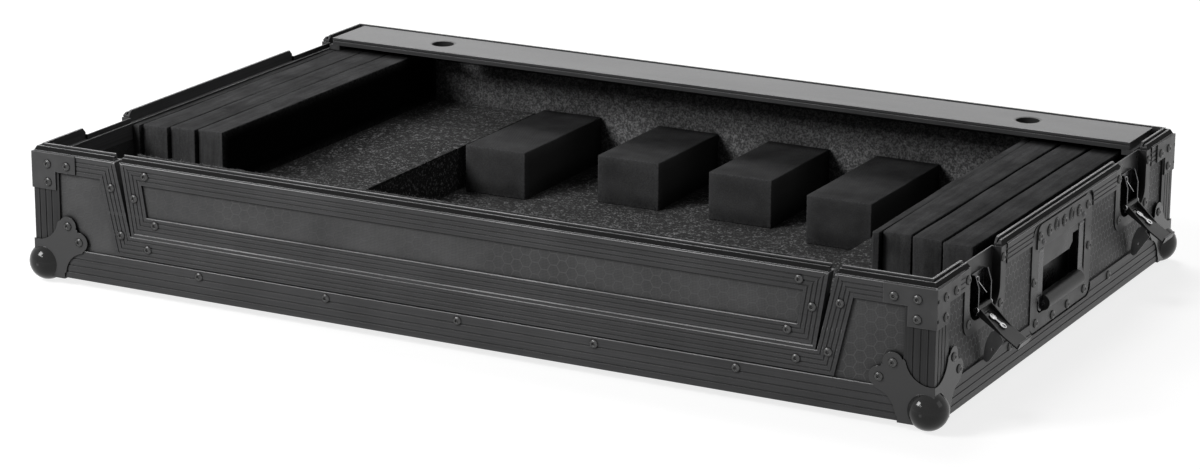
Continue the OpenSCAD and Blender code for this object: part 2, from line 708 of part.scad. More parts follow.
// Latch arm, drawn level and pointing outwards from its hinge, then swung down
module swung() translate([0, hinge_in, hinge_z]) rotate([arm_angle, 0, 0]) children();
barrel_r = pin_r + turn_gap + eye_wall;
function lip(u, v) = [u * cos(lip_lean) + v * sin(lip_lean) - arm_len,
    v * cos(lip_lean) - u * sin(lip_lean) - arm_drop];
module latch_arm() swung() difference() {
    union() {
        along_x(arm_w) polygon([[-barrel_r * 0.7, -0.5], [-barrel_r - 2, arm_t - arm_drop],
            lip(arm_t, arm_t * (1 + sin(lip_lean)) / cos(lip_lean)), lip(arm_t, lip_h), lip(0, lip_h),
            [-arm_len, -arm_drop], [-1, -arm_drop], [barrel_r * 0.1, -barrel_r * 0.7]]);
        for (s = [-1, 1]) translate([s * (arm_w - arm_t) / 2, 0, 0]) along_x(arm_t)
            polygon([[-side_len, arm_t / 3 - arm_drop], [-3, arm_t / 3 - arm_drop],
                [barrel_r * 0.5, -barrel_r * 0.6], [0, barrel_r * 0.8], [-4, arm_rise - 1],
                [-side_len, arm_t / 2 - arm_drop]]);
        rotate([0, 90, 0]) cylinder(h = arm_w, r = barrel_r, center = true, $fn = fine);
    }
    rotate([0, 90, 0]) cylinder(h = 2 * arm_w, r = pin_r + turn_gap, center = true, $fn = fine);
    translate([0, -wing_at, -arm_drop - cut])
        cylinder(h = arm_t + 2 * cut, r = spindle_r + turn_gap, $fn = fine);
    translate([-5.5, -9.5, -arm_drop - cut]) cube([11, 4.2, arm_t + 2 * cut]);
}
module latch_arm_rf() color("gray") on_right() translate([-latch_at, 0, 0]) latch_arm();
module latch_arm_rr() color("gray") on_right() translate([latch_at, 0, 0]) latch_arm();
module latch_arm_lf() color("gray") on_left() translate([latch_at, 0, 0]) latch_arm();
module latch_arm_lr() color("gray") on_left() translate([-latch_at, 0, 0]) latch_arm();

// Cam on its spindle, with a fork under the arm that carries the folding wing
module latch_cam() swung() translate([0, -wing_at, -arm_drop]) {
    translate([0, 0, -2.3]) cylinder(h = 2.3 + arm_t + side_gap + cam_t / 2, r = spindle_r, $fn = fine);
    translate([0, 0, -2.3]) cylinder(h = 2, r = fork_half, $fn = fine);
    for (s = [-1, 1]) translate([0, s * (fork_half - fork_t / 2), 0]) difference() {
        union() {
            translate([-knuckle_r, -fork_t / 2, -fold_drop]) cube([2 * knuckle_r, fork_t, fold_drop - 1]);
            translate([0, 0, -fold_drop]) rotate([90, 0, 0])
                cylinder(h = fork_t, r = knuckle_r, center = true, $fn = fine);
        }
        translate([0, 0, -fold_drop]) rotate([90, 0, 0])
            cylinder(h = 2 * fork_t, r = fold_r + turn_gap, center = true, $fn = fine);
    }
    translate([0, 0, arm_t + side_gap]) difference() {
        linear_extrude(cam_t) {
            circle(cam_w / 2, $fn = fine);
            translate([0, cam_reach]) circle(cam_w / 2, $fn = fine);
            translate([-spindle_r / 2, 0]) square([spindle_r, cam_reach]);
        }
        translate([0, -0.6, cam_t / 2]) cylinder(h = cam_t, r = cam_w / 2 - cam_ring, $fn = fine);
    }
    translate([0, cam_reach, arm_t + side_gap + cam_t]) intersection() {
        translate([0, 0, -3]) sphere(4, $fn = fine);
        cylinder(h = 2, r = 2.6, $fn = fine);
    }
}
module latch_cam_rf() color("silver") on_right() translate([-latch_at, 0, 0]) latch_cam();
module latch_cam_rr() color("silver") on_right() translate([latch_at, 0, 0]) latch_cam();
module latch_cam_lf() color("silver") on_left() translate([latch_at, 0, 0]) latch_cam();
module latch_cam_lr() color("silver") on_left() translate([-latch_at, 0, 0]) latch_cam();

// Wing: a rounded fin on a knuckle whose pin turns in the fork
module latch_wing() swung() translate([0, -wing_at, -arm_drop]) difference() {
    union() {
        along_x(wing_t) fin_outline();
        translate([0, 0, -fold_drop]) rotate([90, 0, 0])
            cylinder(h = 2 * (fork_half - fork_t) - 0.6, r = knuckle_r, center = true, $fn = fine);
        translate([0, 0, -fold_drop]) rotate([90, 0, 0])
            cylinder(h = 2 * fork_half, r = fold_r, center = true, $fn = fine);
    }
    translate([-cut, -5.5, -fold_drop - 17.5]) rotate([0, 90, 0]) cylinder(h = 2 * cut, r = 1.4, $fn = fine);
}
// Outline of the fin: straight on its outer edge, curved on the edge beside the wall
module fin_outline() polygon(concat(
    [[-wing_out, -fold_drop - 5.2], [-wing_out, -fold_drop - wing_len + 5.2],
    [-wing_out + 1.4, -fold_drop - wing_len + 2.2], [-wing_out + 3.6, -fold_drop - wing_len + 2.4]],
    [for (k = [10:-1:0]) [wing_w - wing_out - 0.7 * wing_w * pow(k / 10, 2),
        -fold_drop - 5.2 - (wing_len - 7.2) * k / 10]],
    [[3.3, -fold_drop - 3], [3.3, -fold_drop],
    [-3.3, -fold_drop], [-3.3, -fold_drop - 3]]));
module latch_wing_rf() color("dimgray") on_right() translate([-latch_at, 0, 0]) latch_wing();
module latch_wing_rr() color("dimgray") on_right() translate([latch_at, 0, 0]) latch_wing();
module latch_wing_lf() color("dimgray") on_left() translate([latch_at, 0, 0]) latch_wing();
module latch_wing_lr() color("dimgray") on_left() translate([-latch_at, 0, 0]) latch_wing();

// Handle plate with its recess; its side walls carry the pivot pins
module handle_dish() color("dimgray") on_right() difference() {
    union() {
        inwards(plate_y, edge_t) plate(handle_half, handle_z, handle_z + handle_h,
            handle_corner[0], handle_corner[1]);
        inwards(edge_t, handle_d + fit_t) plate(bay_half + fit_t, bay_low - fit_t, bay_top + fit_t,
            bay_corner + fit_t, bay_corner + fit_t);
    }
    inwards(-cut, handle_d) plate(bay_half, bay_low, bay_top, bay_corner, bay_corner);
    translate([0, pivot_in, pivot_z]) rotate([0, 90, 0])
        cylinder(h = case_d / 2, r = pivot_r + turn_gap, center = true, $fn = fine);
}

// Stop plate over the top of the recess: outer flange with two slots, and a tab set back
module handle_stop() color("dimgray") on_right() {
    difference() {
        inwards(plate_y - fit_t, plate_y) plate(stop_half, stop_low, handle_z + handle_h,
            stop_corner[0], stop_corner[1]);
        for (s = [-1, 1]) inwards(plate_y - fit_t - cut, plate_y + cut)
            translate([s * stop_slot_at, stop_slot_z - 1])
                plate(stop_slot[0], -stop_slot[1], stop_slot[1], stop_slot[2], stop_slot[2]);
    }
    translate([-strap_u + 0.6, plate_y, stop_low]) cube([2 * (strap_u - 0.6), 2 * fit_t, fit_t]);
    inwards(edge_t, edge_t + fit_t) polygon([[-strap_u + 0.6, stop_tab], [stop_cut[0], stop_tab],
        [stop_cut[1], stop_tab + 5], [stop_cut[1], stop_cut[2]], [strap_u - 0.6, stop_cut[2]],
        [strap_u - 0.6, stop_low + fit_t], [-strap_u + 0.6, stop_low + fit_t]]);
}

// Pivot pins in the walls of the recess, and two bright rivets of the stop plate
module handle_pins() color("silver") on_right() {
    for (s = [-1, 1]) translate([s * strap_u, pivot_in, pivot_z]) rotate([0, s * 90, 0])
        cylinder(h = bay_half + fit_t - strap_u, r = pivot_r, $fn = fine);
    for (s = [-1, 1]) translate([s * (strap_u + strap_w / 2), plate_y - fit_t, dome_z])
        intersection() {
            translate([0, 1.6, 0]) sphere(3.4, $fn = fine);
            rotate([90, 0, 0]) cylinder(h = 4, r = 4, $fn = fine);
        }
}

// Bail: two straps with eyes, joined by the rod inside the grip
module handle_bail() color("gray") on_right() {
    difference() {
        for (s = [-1, 1]) translate([s * (strap_u + strap_w / 2), 0, 0]) {
            along_x(strap_w) polygon([[strap_y - strap_t / 2, pivot_z],
                [strap_y - strap_t / 2, grip_z + 8], [grip_in - strap_t / 2, grip_z + 3],
                [grip_in - strap_t / 2, grip_z - 3.2], [grip_in + strap_t / 2, grip_z - 3.2],
                [grip_in + strap_t / 2, grip_z + 3], [strap_y + strap_t / 2, grip_z + 8],
                [strap_y + strap_t / 2, pivot_z]]);
            translate([0, pivot_in, pivot_z]) rotate([0, 90, 0])
                cylinder(h = strap_w, r = eye_r, center = true, $fn = fine);
        }
        translate([0, pivot_in, pivot_z]) rotate([0, 90, 0])
            cylinder(h = case_d / 2, r = pivot_r + turn_gap, center = true, $fn = fine);
    }
    for (s = [-1, 1]) translate([s * (strap_u + strap_w / 2), grip_in + strap_t / 2, grip_z])
        rotate([90, 0, 0]) difference() {
            cylinder(h = strap_t, r = strap_w / 2, $fn = fine);
            translate([-strap_w, -3, -cut]) cube([2 * strap_w, strap_w, strap_t + 2 * cut]);
        }
    translate([0, grip_in, grip_z]) rotate([0, 90, 0])
        cylinder(h = 2 * strap_u + 1, r = rod_r, center = true, $fn = fine);
}
module handle_grip() color("black") on_right() translate([0, grip_in, grip_z])
    rotate([0, 90, 0]) difference() {
        cylinder(h = 2 * strap_u - 0.4, r = grip_r, center = true, $fn = fine);
        cylinder(h = 2 * strap_u + 1, r = rod_r, center = true, $fn = fine);
    }

// Wheel well: a pressed pocket in the left wall with a flange round its mouth
module wheel_wells() color("dimgray") on_left() both_ways(wheel_at) difference() {
    union() {
        translate([-well_half - well_t, edge_t, 0])
            cube([2 * (well_half + well_t), well_back + well_t - edge_t, well_top + well_t]);
        inwards(plate_y, edge_t) plate(well_half + well_flange, 0, well_top_edge,
            well_corner[0], well_corner[1]);
    }
    translate([-well_half, -cut, -cut]) cube([2 * well_half, well_back + cut, well_top + cut]);
    translate([0, wheel_in, wheel_z]) rotate([0, 90, 0])
        cylinder(h = 2 * well_cut, r = axle_r + turn_gap, center = true, $fn = fine);
}
module wheel_axles() color("silver") on_left() both_ways(wheel_at)
    translate([0, wheel_in, wheel_z]) rotate([0, 90, 0]) {
        cylinder(h = 2 * (well_half + well_t), r = axle_r, center = true, $fn = fine);
        for (s = [-1, 1]) translate([0, 0, s * (well_half + well_t + axle_head / 2)])
            cylinder(h = axle_head, r = axle_r + 0.8, center = true, $fn = fine);
    }
module wheel_hub(at) on_left() translate([at, wheel_in, wheel_z]) rotate([0, 90, 0])
    rotate_extrude($fn = 2 * fine) polygon([
        [axle_r + turn_gap, -wheel_w / 2 - 1.2], [axle_r + 4, -wheel_w / 2 - 1.2],
        [axle_r + 4, -wheel_w / 2 + 2], [wheel_r - tyre_t - 3, -wheel_w / 2 + 2],
        [wheel_r - tyre_t - 3, -wheel_w / 2], [wheel_r - tyre_t, -wheel_w / 2],
        [wheel_r - tyre_t, wheel_w / 2], [wheel_r - tyre_t - 3, wheel_w / 2],
        [wheel_r - tyre_t - 3, wheel_w / 2 - 2], [axle_r + 4, wheel_w / 2 - 2],
        [axle_r + 4, wheel_w / 2 + 1.2], [axle_r + turn_gap, wheel_w / 2 + 1.2]]);
module wheel_tyre(at) on_left() translate([at, wheel_in, wheel_z]) rotate([0, 90, 0])
    rotate_extrude($fn = 2 * fine) polygon([
        [wheel_r - tyre_t, -wheel_w / 2 + hub_in], [wheel_r - 1.5, -wheel_w / 2 + hub_in],
        [wheel_r, -wheel_w / 2 + 2.5], [wheel_r, wheel_w / 2 - 2.5],
        [wheel_r - 1.5, wheel_w / 2 - hub_in], [wheel_r - tyre_t, wheel_w / 2 - hub_in]]);
module wheel_hub_front() color("gray") wheel_hub(wheel_at);
module wheel_hub_rear() color("gray") wheel_hub(-wheel_at);
module wheel_tyre_front() color("black") wheel_tyre(wheel_at);
module wheel_tyre_rear() color("black") wheel_tyre(-wheel_at);

// Raised platform: top board, riser and two cross ribs
module platform(edge, side) {
    low = min(edge, side * in_w);
    len = abs(side * in_w - edge);
    translate([low, -in_d, ride_h + step_z - carpet_t - step_t]) cube([len, 2 * in_d, step_t]);
    translate([edge - (side < 0 ? rib_t : 0), -in_d, ride_h + floor_z])
        cube([rib_t, 2 * in_d, step_z - carpet_t - step_t - floor_z]);
    for (y = [-in_d + rib_in, in_d - rib_in - rib_t])
        translate([low + (side < 0 ? edge_w : rib_t), y, ride_h + floor_z])
        cube([len - edge_w - rib_t, rib_t, step_z - carpet_t - step_t - floor_z]);
}
module platforms() color("burlywood") {
    platform(step_left - carpet_t, -1);
    difference() {
        platform(step_right + carpet_t, 1);
        on_right() bay_notch(0, handle_d + fit_t + notch_gap);
    }
}

module carpet_floor() color("slategray") translate([step_left, -in_d, ride_h + floor_z])
    cube([step_right - step_left, 2 * in_d, carpet_t]);
module carpet_walls() color("slategray") {
    on_rear() translate([-half_w + board_in, board_in, floor_z])
        cube([case_w - 2 * board_in, carpet_t, leg_z - floor_z]);
    on_front() difference() {
        translate([-half_w + board_in, board_in, floor_z])
            cube([case_w - 2 * board_in, carpet_t, leg_z - floor_z]);
        inwards(board_in - cut, carpet_in + cut) jamb_area(trim_leg);
    }
}
module carpet_platforms() color("slategray") difference() {
    translate([0, -in_d, ride_h]) platform_carpets();
    on_right() bay_notch(0, handle_d + fit_t + notch_gap);
}
module platform_carpets() {
    translate([-in_w, 0, step_z - carpet_t]) cube([left_step, 2 * in_d, carpet_t]);
    translate([step_left - carpet_t, 0, floor_z]) cube([carpet_t, 2 * in_d, step_z - floor_z]);
    translate([step_right, 0, step_z - carpet_t]) cube([right_step, 2 * in_d, carpet_t]);
    translate([step_right, 0, floor_z]) cube([carpet_t, 2 * in_d, step_z - floor_z]);
}
module side_linings() color("darkslategray") {
    on_left() translate([-in_d, board_in, step_z]) cube([2 * in_d, lining_t, leg_z - step_z]);
    on_right() difference() {
        translate([-in_d, board_in, step_z]) cube([2 * in_d, lining_t, leg_z - step_z]);
        bay_notch(0, wall_in + cut);
    }
}

// Foam strips stand on the platforms, thin one first from the left on each side
module strip(x, width, space) translate([x, space - in_d, ride_h + step_z])
    cube([width, 2 * in_d - space, strip_h]);
module foam_left() color("black") {
    strip(-in_w, thin_t, left_space[0]);
    for (i = [0:2]) strip(-in_w + thin_t + left_gap + i * (strip_t + left_gap), strip_t, left_space[i + 1]);
}
module foam_right() color("black") {
    for (i = [0:2]) strip(in_w - strip_air - 3 * strip_t - 2 * right_gap + i * (strip_t + right_gap),
        strip_t, right_space[i + 1]);
    strip(in_w - strip_air - 3 * strip_t - 2 * right_gap - 0.5 - thin_t, thin_t, right_space[0]);
}
module foam_blocks() color("black") for (i = [0:3])
    translate([step_left + block_share[i] * (step_right - step_left) - block_w / 2,
        in_d - block_len[i], ride_h + carpet_z])
    cube([block_w, block_len[i], block_h]);

// Battens that carry the rear cover
module cover_rests() color("burlywood") {
    mirrored() translate([in_w - rest_w, cover_front, ride_h + cover_z - rest_t])
        cube([rest_w, in_d - cover_front, rest_t]);
    translate([-rest_len / 2, half_d - wall_in - rest_w, ride_h + cover_z - rest_w])
        cube([rest_len, rest_w, rest_w]);
}
module rubber_feet() color("black") mirrored()
    for (s = [-1, 1]) translate([half_w - foot_in, s * (half_d - foot_in), 0])
        cylinder(h = ride_h + edge_t, r = foot_r, $fn = fine);

module cover_board() color("silver") difference() {
    translate([-in_w + cover_gap, cover_front + cover_trim_t, ride_h + cover_z])
        cube([2 * (in_w - cover_gap), cover_d - cover_trim_t, cover_t]);
    for (s = [-1, 1]) translate([s * finger_at, (cover_front + cover_back) / 2, ride_h + cover_z - cut])
        cylinder(h = cover_t + 2 * cut, r = finger_r, $fn = 2 * fine);
}
module cover_trim() color("gray") translate([0, cover_front, ride_h + cover_z])
    along_x(2 * (in_w - cover_gap)) polygon([[0, 0], [cover_trim_t, 0], [cover_trim_t, cover_t],
        [0, cover_t], [0, 0.62 * cover_t + 0.7], [0.8, 0.62 * cover_t], [0, 0.62 * cover_t - 0.7]]);

// Lift-out front panel: board in a frame of the same trims, its top a length of rim
module panel_board() color("dimgray") on_front() difference() {
    inwards(edge_t, board_in) panel_area(web_t);
    translate([-half_w, 0, seat_z]) cube([case_w, case_d, wall_h]);
}
module panel_lining() color("slategray") on_front() difference() {
    inwards(board_in, carpet_in) panel_area(trim_leg + 0.3);
    translate([-half_w, 0, leg_z]) cube([case_w, case_d, wall_h]);
}
module panel_rim() color("silver") on_front() {
    intersection() {
        along_x(case_w) rim_outline();
        inwards(0, edge_t) panel_cap();
    }
    intersection() {
        along_x(case_w) rim_outline();
        inwards(edge_t, wall_in) panel_area(web_t);
    }
}
module panel_frame() color("silver") on_front() difference() {
    union() {
        difference() {
            inwards(0, edge_t) difference() { panel_area(0); panel_area(trim_w); }
            for (k = [1:4]) inwards(-cut, groove_d) difference() {
                panel_area(k * fine_step - 0.5 - groove_w / 2);
                panel_area(k * fine_step - 0.5 + groove_w / 2);
            }
            inwards(-cut, edge_t + cut) panel_cap();
        }
        inwards(edge_t, board_in) difference() { panel_area(0); panel_area(web_t); }
        difference() {
            inwards(board_in, wall_in) difference() { panel_area(0); panel_area(trim_leg); }
            translate([-half_w, board_in - cut, leg_z]) cube([case_w, case_d, wall_h]);
        }
    }
    translate([-half_w, -cut, wall_h]) cube([case_w, case_d, wall_h]);
}
module panel_rivets() color("black") on_front() mirrored() rivets_at([
    [panel_x(sill_h, -trim_w) - 6, panel_z + trim_w / 2 + 4],
    [panel_x(wall_h - 33, -trim_w / 2) + 0.5, wall_h - 33],
    [panel_x(wall_h, -trim_w) - 7, wall_h - 10]], 0);

bottom_board();
front_board();
rear_board();
left_board();
right_board();
bottom_edging();
corner_posts();
rim_front();
rim_rear();
rim_left();
rim_right();
opening_trim();
corner_brackets();
ball_corners();
body_rivets();
fitting_rivets();
latch_dishes();
latch_brackets();
latch_pins();
latch_springs();
latch_arm_rf();
latch_arm_rr();
latch_arm_lf();
latch_arm_lr();
latch_cam_rf();
latch_cam_rr();
latch_cam_lf();
latch_cam_lr();
latch_wing_rf();
latch_wing_rr();
latch_wing_lf();
latch_wing_lr();
handle_dish();
handle_stop();
handle_pins();
handle_bail();
handle_grip();
wheel_wells();
wheel_axles();
wheel_hub_front();
wheel_hub_rear();
wheel_tyre_front();
wheel_tyre_rear();
platforms();
carpet_floor();
carpet_walls();
carpet_platforms();
side_linings();
foam_left();
foam_right();
foam_blocks();
cover_rests();
rubber_feet();
cover_board();
cover_trim();
panel_board();
panel_lining();
panel_rim();
panel_frame();
panel_rivets();
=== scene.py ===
import math
import random

import bpy
from mathutils import Matrix, Vector


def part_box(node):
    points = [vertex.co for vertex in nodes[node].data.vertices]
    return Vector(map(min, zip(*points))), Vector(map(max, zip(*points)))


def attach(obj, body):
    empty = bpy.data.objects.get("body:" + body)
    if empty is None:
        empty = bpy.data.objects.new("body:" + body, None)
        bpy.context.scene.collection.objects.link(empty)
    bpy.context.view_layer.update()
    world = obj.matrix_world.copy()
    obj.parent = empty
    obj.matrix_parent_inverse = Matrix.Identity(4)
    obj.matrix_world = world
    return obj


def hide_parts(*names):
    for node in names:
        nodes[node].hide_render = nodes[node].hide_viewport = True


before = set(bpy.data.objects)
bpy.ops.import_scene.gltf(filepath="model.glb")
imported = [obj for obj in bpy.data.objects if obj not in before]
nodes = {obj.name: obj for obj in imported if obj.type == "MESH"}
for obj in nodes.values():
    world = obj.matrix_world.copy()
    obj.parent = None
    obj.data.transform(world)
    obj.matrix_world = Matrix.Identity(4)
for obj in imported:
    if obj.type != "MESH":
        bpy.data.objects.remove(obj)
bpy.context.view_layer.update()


# Camera, lamps and floor. The camera stands in front and to the right, 16 degrees up, with the
# focal length that the photograph's perspective gives. A soft box near the left end, a top light,
# a weak fill and a small bare lamp light the case on a pale floor under a white surround.
azimuth, elevation, roll = (math.radians(a) for a in (27.825, 16.299, 0.327))
camera_place, focal_length, film_width = (1.5876, -3.028, 1.0359), 110.262, 36
back = Vector((math.sin(azimuth) * math.cos(elevation),
               -math.cos(azimuth) * math.cos(elevation), math.sin(elevation)))
right = Vector((0, 0, 1)).cross(back).normalized()
up = back.cross(right)
turned = (math.cos(roll) * right + math.sin(roll) * up,
          math.cos(roll) * up - math.sin(roll) * right, back)
bpy.ops.object.select_all(action="DESELECT")
bpy.ops.object.camera_add()
camera = bpy.context.object
camera.matrix_world = Matrix.Translation(camera_place) @ Matrix(turned).transposed().to_4x4()
camera.data.lens = focal_length
camera.data.sensor_width = film_width
camera.data.clip_end = 60
bpy.context.scene.camera = camera
bpy.context.scene.view_settings.view_transform = "Standard"

soft_box = ((-1.42, -1.8, 1.62), (-0.12, -0.1, 0.05), 0.9, 49)
top_light = ((-0.6, 0.9, 2.2), (-0.2, 0, 0.1), 1.1, 29)
weak_fill = ((2.7, 0.1, 1.5), (0.4, 0, 0.08), 1.2, 4)
bare_lamp = ((-0.9, -2.6, 1.5), (0.2, -0.2, 0.08), 0.16, 4)
for place, aim, size, watts in (soft_box, top_light, weak_fill, bare_lamp):
    bpy.ops.object.light_add(type="AREA", location=place)
    lamp = bpy.context.object
    lamp.data.shape = "SQUARE"
    lamp.data.size = size
    lamp.data.energy = watts
    lamp.rotation_euler = (Vector(aim) - Vector(place)).to_track_quat("-Z", "Y").to_euler()


def add(tree, kind, inputs=None, **settings):
    """Adds a shader node: sockets are linked, other values are set."""
    made = tree.nodes.new(kind)
    for key, value in settings.items():
        setattr(made, key, value)
    for key, value in (inputs or {}).items():
        if isinstance(value, bpy.types.NodeSocket):
            tree.links.new(value, made.inputs[key])
        else:
            made.inputs[key].default_value = value
    return made


def seen_directly(tree):
    """One for what the camera, reflections and clear pieces show, nought for light on a piece."""
    path = add(tree, "ShaderNodeLightPath")
    seen = add(tree, "ShaderNodeMath", {0: path.outputs["Is Camera Ray"],
                                        1: path.outputs["Is Glossy Ray"]}, operation="MAXIMUM")
    return add(tree, "ShaderNodeMath", {0: seen.outputs[0], 1: path.outputs["Is Transmission Ray"]},
               operation="MAXIMUM").outputs[0]


white, ambient_light, surround_light = (1, 1, 1, 1), 0.12, 1.0
world = bpy.data.worlds.new("studio")
bpy.context.scene.world = world
world.use_nodes = True
tree = world.node_tree
ambient = tree.nodes["Background"]
ambient.inputs["Color"].default_value = white
ambient.inputs["Strength"].default_value = ambient_light
glow = add(tree, "ShaderNodeBackground", {"Color": white, "Strength": surround_light})
both = add(tree, "ShaderNodeMixShader", {0: seen_directly(tree), 1: ambient.outputs[0],
                                         2: glow.outputs[0]})
tree.links.new(both.outputs[0], tree.nodes["World Output"].inputs["Surface"])

floor_size, floor_grey, floor_glow = 24, (0.34, 0.34, 0.34, 1), 0.8
bpy.ops.object.select_all(action="DESELECT")
bpy.ops.mesh.primitive_plane_add(size=floor_size)
floor = bpy.context.object
floor.name = "floor"
paper = bpy.data.materials.new("white_paper")
paper.use_nodes = True
tree = paper.node_tree
shader = tree.nodes["Principled BSDF"]
shader.inputs["Base Color"].default_value = floor_grey
shader.inputs["Roughness"].default_value = 0.9
shader.inputs["Specular IOR Level"].default_value = 0.0
glow = add(tree, "ShaderNodeEmission", {"Color": white, "Strength": floor_glow})
lit = add(tree, "ShaderNodeAddShader", {0: shader.outputs[0], 1: glow.outputs[0]})
both = add(tree, "ShaderNodeMixShader", {0: seen_directly(tree), 1: shader.outputs[0],
                                         2: lit.outputs[0]})
tree.links.new(both.outputs[0], tree.nodes["Material Output"].inputs["Surface"])
floor.data.materials.append(paper)


# Laminated boards: plywood faced with a black laminate that is pressed with a honeycomb of thin
# raised lines, each cell filled with a fine crossed weave. The raised lines are painted lighter,
# in patches, as a painted highlight. The front, rear and panel boards have the larger cells. The
# end boards have smaller ones, turned, with their cells painted darker as painted shade and
# their lines paler as a stronger painted highlight.
def new_material(name, color, roughness, **sockets):
    """A material with its plain values set on the shader."""
    made = bpy.data.materials.new(name)
    made.use_nodes = True
    shader = made.node_tree.nodes["Principled BSDF"]
    shader.inputs["Base Color"].default_value = (*color, 1)
    shader.inputs["Roughness"].default_value = roughness
    for key, value in sockets.items():
        shader.inputs[key.replace("_", " ")].default_value = value
    return made, made.node_tree, shader


def on_piece(tree):
    """Places on a piece, in metres."""
    return add(tree, "ShaderNodeTexCoord").outputs["Object"]


def math_node(tree, operation, a, b=0.0):
    return add(tree, "ShaderNodeMath", {0: a, 1: b}, operation=operation).outputs[0]


def noise(tree, vector, scale, detail=3.0, roughness=0.55):
    return add(tree, "ShaderNodeTexNoise", {"Vector": vector, "Scale": scale, "Detail": detail,
                                            "Roughness": roughness}).outputs["Fac"]


def between(tree, factor, low, high, to_low, to_high):
    """A value that goes from one number to another as the factor runs from low to high."""
    return add(tree, "ShaderNodeMapRange", {0: factor, 1: low, 2: high, 3: to_low,
                                            4: to_high}).outputs[0]


def shades(tree, factor, dark, light, low, high):
    """A colour between dark and light as the factor runs from low to high."""
    ramp = add(tree, "ShaderNodeValToRGB", {0: factor})
    first, last = ramp.color_ramp.elements
    first.position, first.color = low, (*dark, 1)
    last.position, last.color = high, (*light, 1)
    return ramp.outputs["Color"]


def mixed(tree, factor, color, other):
    """A colour that turns into another one as the factor runs from nought to one."""
    other = other if isinstance(other, bpy.types.NodeSocket) else (*other, 1)
    return add(tree, "ShaderNodeMix", {0: factor, 6: color, 7: other}, data_type="RGBA").outputs[2]


def varied(tree, color, share):
    """A colour made darker or lighter by a share."""
    return add(tree, "ShaderNodeHueSaturation", {"Color": color, "Value": share}).outputs[0]


def shade_in_hollows(tree, color, reach, least):
    """A colour darkened by painted shade in grooves, corners and joints, down to a share of itself.
    """
    open_air = add(tree, "ShaderNodeAmbientOcclusion", {"Distance": reach}, samples=6).outputs["AO"]
    return varied(tree, color, between(tree, open_air, 0.35, 0.95, least, 1.0))


def painted(tree, shader, color, roughness=None):
    """Gives the shader a colour, and a roughness where that varies."""
    tree.links.new(color, shader.inputs["Base Color"])
    if roughness:
        tree.links.new(roughness, shader.inputs["Roughness"])


def bumped(tree, shader, height, distance, normal=None):
    made = add(tree, "ShaderNodeBump", {"Height": height, "Distance": distance, "Strength": 1.0})
    if normal:
        tree.links.new(normal, made.inputs["Normal"])
    tree.links.new(made.outputs[0], shader.inputs["Normal"])


def finish_with(material, *names):
    """Puts a material on CAD pieces."""
    for name in names:
        for held in nodes[name].material_slots:
            held.material = material


front_cell_r, end_cell_r, weave_pitch = 0.0062, 0.0048, 0.002
line_foot, line_top, line_rise = 0.00065, 0.0001, 0.00012


def honeycomb(name, cell_r, upright, dark, light, line_highlight, least_line_highlight):
    """The laminate, with cells of a radius that stand on a point or on a side."""
    made, tree, shader = new_material(name, (0.05, 0.05, 0.05), 0.42, Specular_IOR_Level=0.2)
    place = on_piece(tree)
    split = add(tree, "ShaderNodeSeparateXYZ", {0: place})
    along = math_node(tree, "ADD", split.outputs["X"], split.outputs["Y"])
    level = split.outputs["Z"]
    flat = add(tree, "ShaderNodeCombineXYZ", {"X": level if upright else along,
                                              "Y": along if upright else level}).outputs[0]
    period = (3 * cell_r, math.sqrt(3) * cell_r, 0)
    half, minus_half = tuple(p / 2 for p in period), tuple(-p / 2 for p in period)
    moved = add(tree, "ShaderNodeVectorMath", {0: flat, 1: half}, operation="SUBTRACT").outputs[0]
    spots = [add(tree, "ShaderNodeVectorMath", {0: v, 1: half, 2: minus_half},
                 operation="WRAP").outputs[0] for v in (flat, moved)]
    far = [add(tree, "ShaderNodeVectorMath", {0: v}, operation="LENGTH").outputs["Value"]
           for v in spots]
    cell = add(tree, "ShaderNodeMix", {0: math_node(tree, "LESS_THAN", far[1], far[0]),
                                       4: spots[0], 5: spots[1]}, data_type="VECTOR").outputs[1]
    cell = add(tree, "ShaderNodeVectorMath", {0: cell}, operation="ABSOLUTE").outputs[0]
    cell = add(tree, "ShaderNodeSeparateXYZ", {0: cell})
    slant = math.pi / 6
    slanted = math_node(tree, "ADD",
                        math_node(tree, "MULTIPLY", cell.outputs["X"], math.cos(slant)),
                        math_node(tree, "MULTIPLY", cell.outputs["Y"], 0.5))
    from_middle = math_node(tree, "MAXIMUM", slanted, cell.outputs["Y"])
    inradius = cell_r * math.cos(slant)
    line = add(tree, "ShaderNodeMapRange", {0: from_middle, 1: inradius - line_foot,
                                            2: inradius - line_top, 3: 0.0, 4: 1.0},
               interpolation_type="SMOOTHSTEP").outputs[0]
    turn = 2 * math.pi / (weave_pitch * math.sqrt(2))
    rising, falling = (math_node(tree, "SINE", math_node(
        tree, "MULTIPLY", math_node(tree, way, along, level), turn)) for way in ("ADD", "SUBTRACT"))
    weave = math_node(tree, "MULTIPLY", math_node(tree, "MULTIPLY", rising, falling),
                      math_node(tree, "SUBTRACT", 1.0, line))
    smudge = noise(tree, place, 22.0, 4.0)
    sheen_patch = noise(tree, place, 7.0, 2.0)
    tint = shades(tree, smudge, dark, light, 0.3, 0.7)
    tint = varied(tree, tint, between(tree, weave, -1.0, 1.0, 0.66, 1.34))
    # The raised lines are painted a lighter colour in patches: painted highlight.
    tint = mixed(tree, math_node(tree, "MULTIPLY", line,
                                 between(tree, sheen_patch, 0.42, 0.62, least_line_highlight, 1.0)),
                 tint, line_highlight)
    painted(tree, shader, shade_in_hollows(tree, tint, 0.007, 0.1),
            between(tree, smudge, 0.3, 0.7, 0.38, 0.52))
    bumped(tree, shader, math_node(tree, "ADD", line, math_node(tree, "MULTIPLY", weave, 0.25)),
           line_rise)
    return made


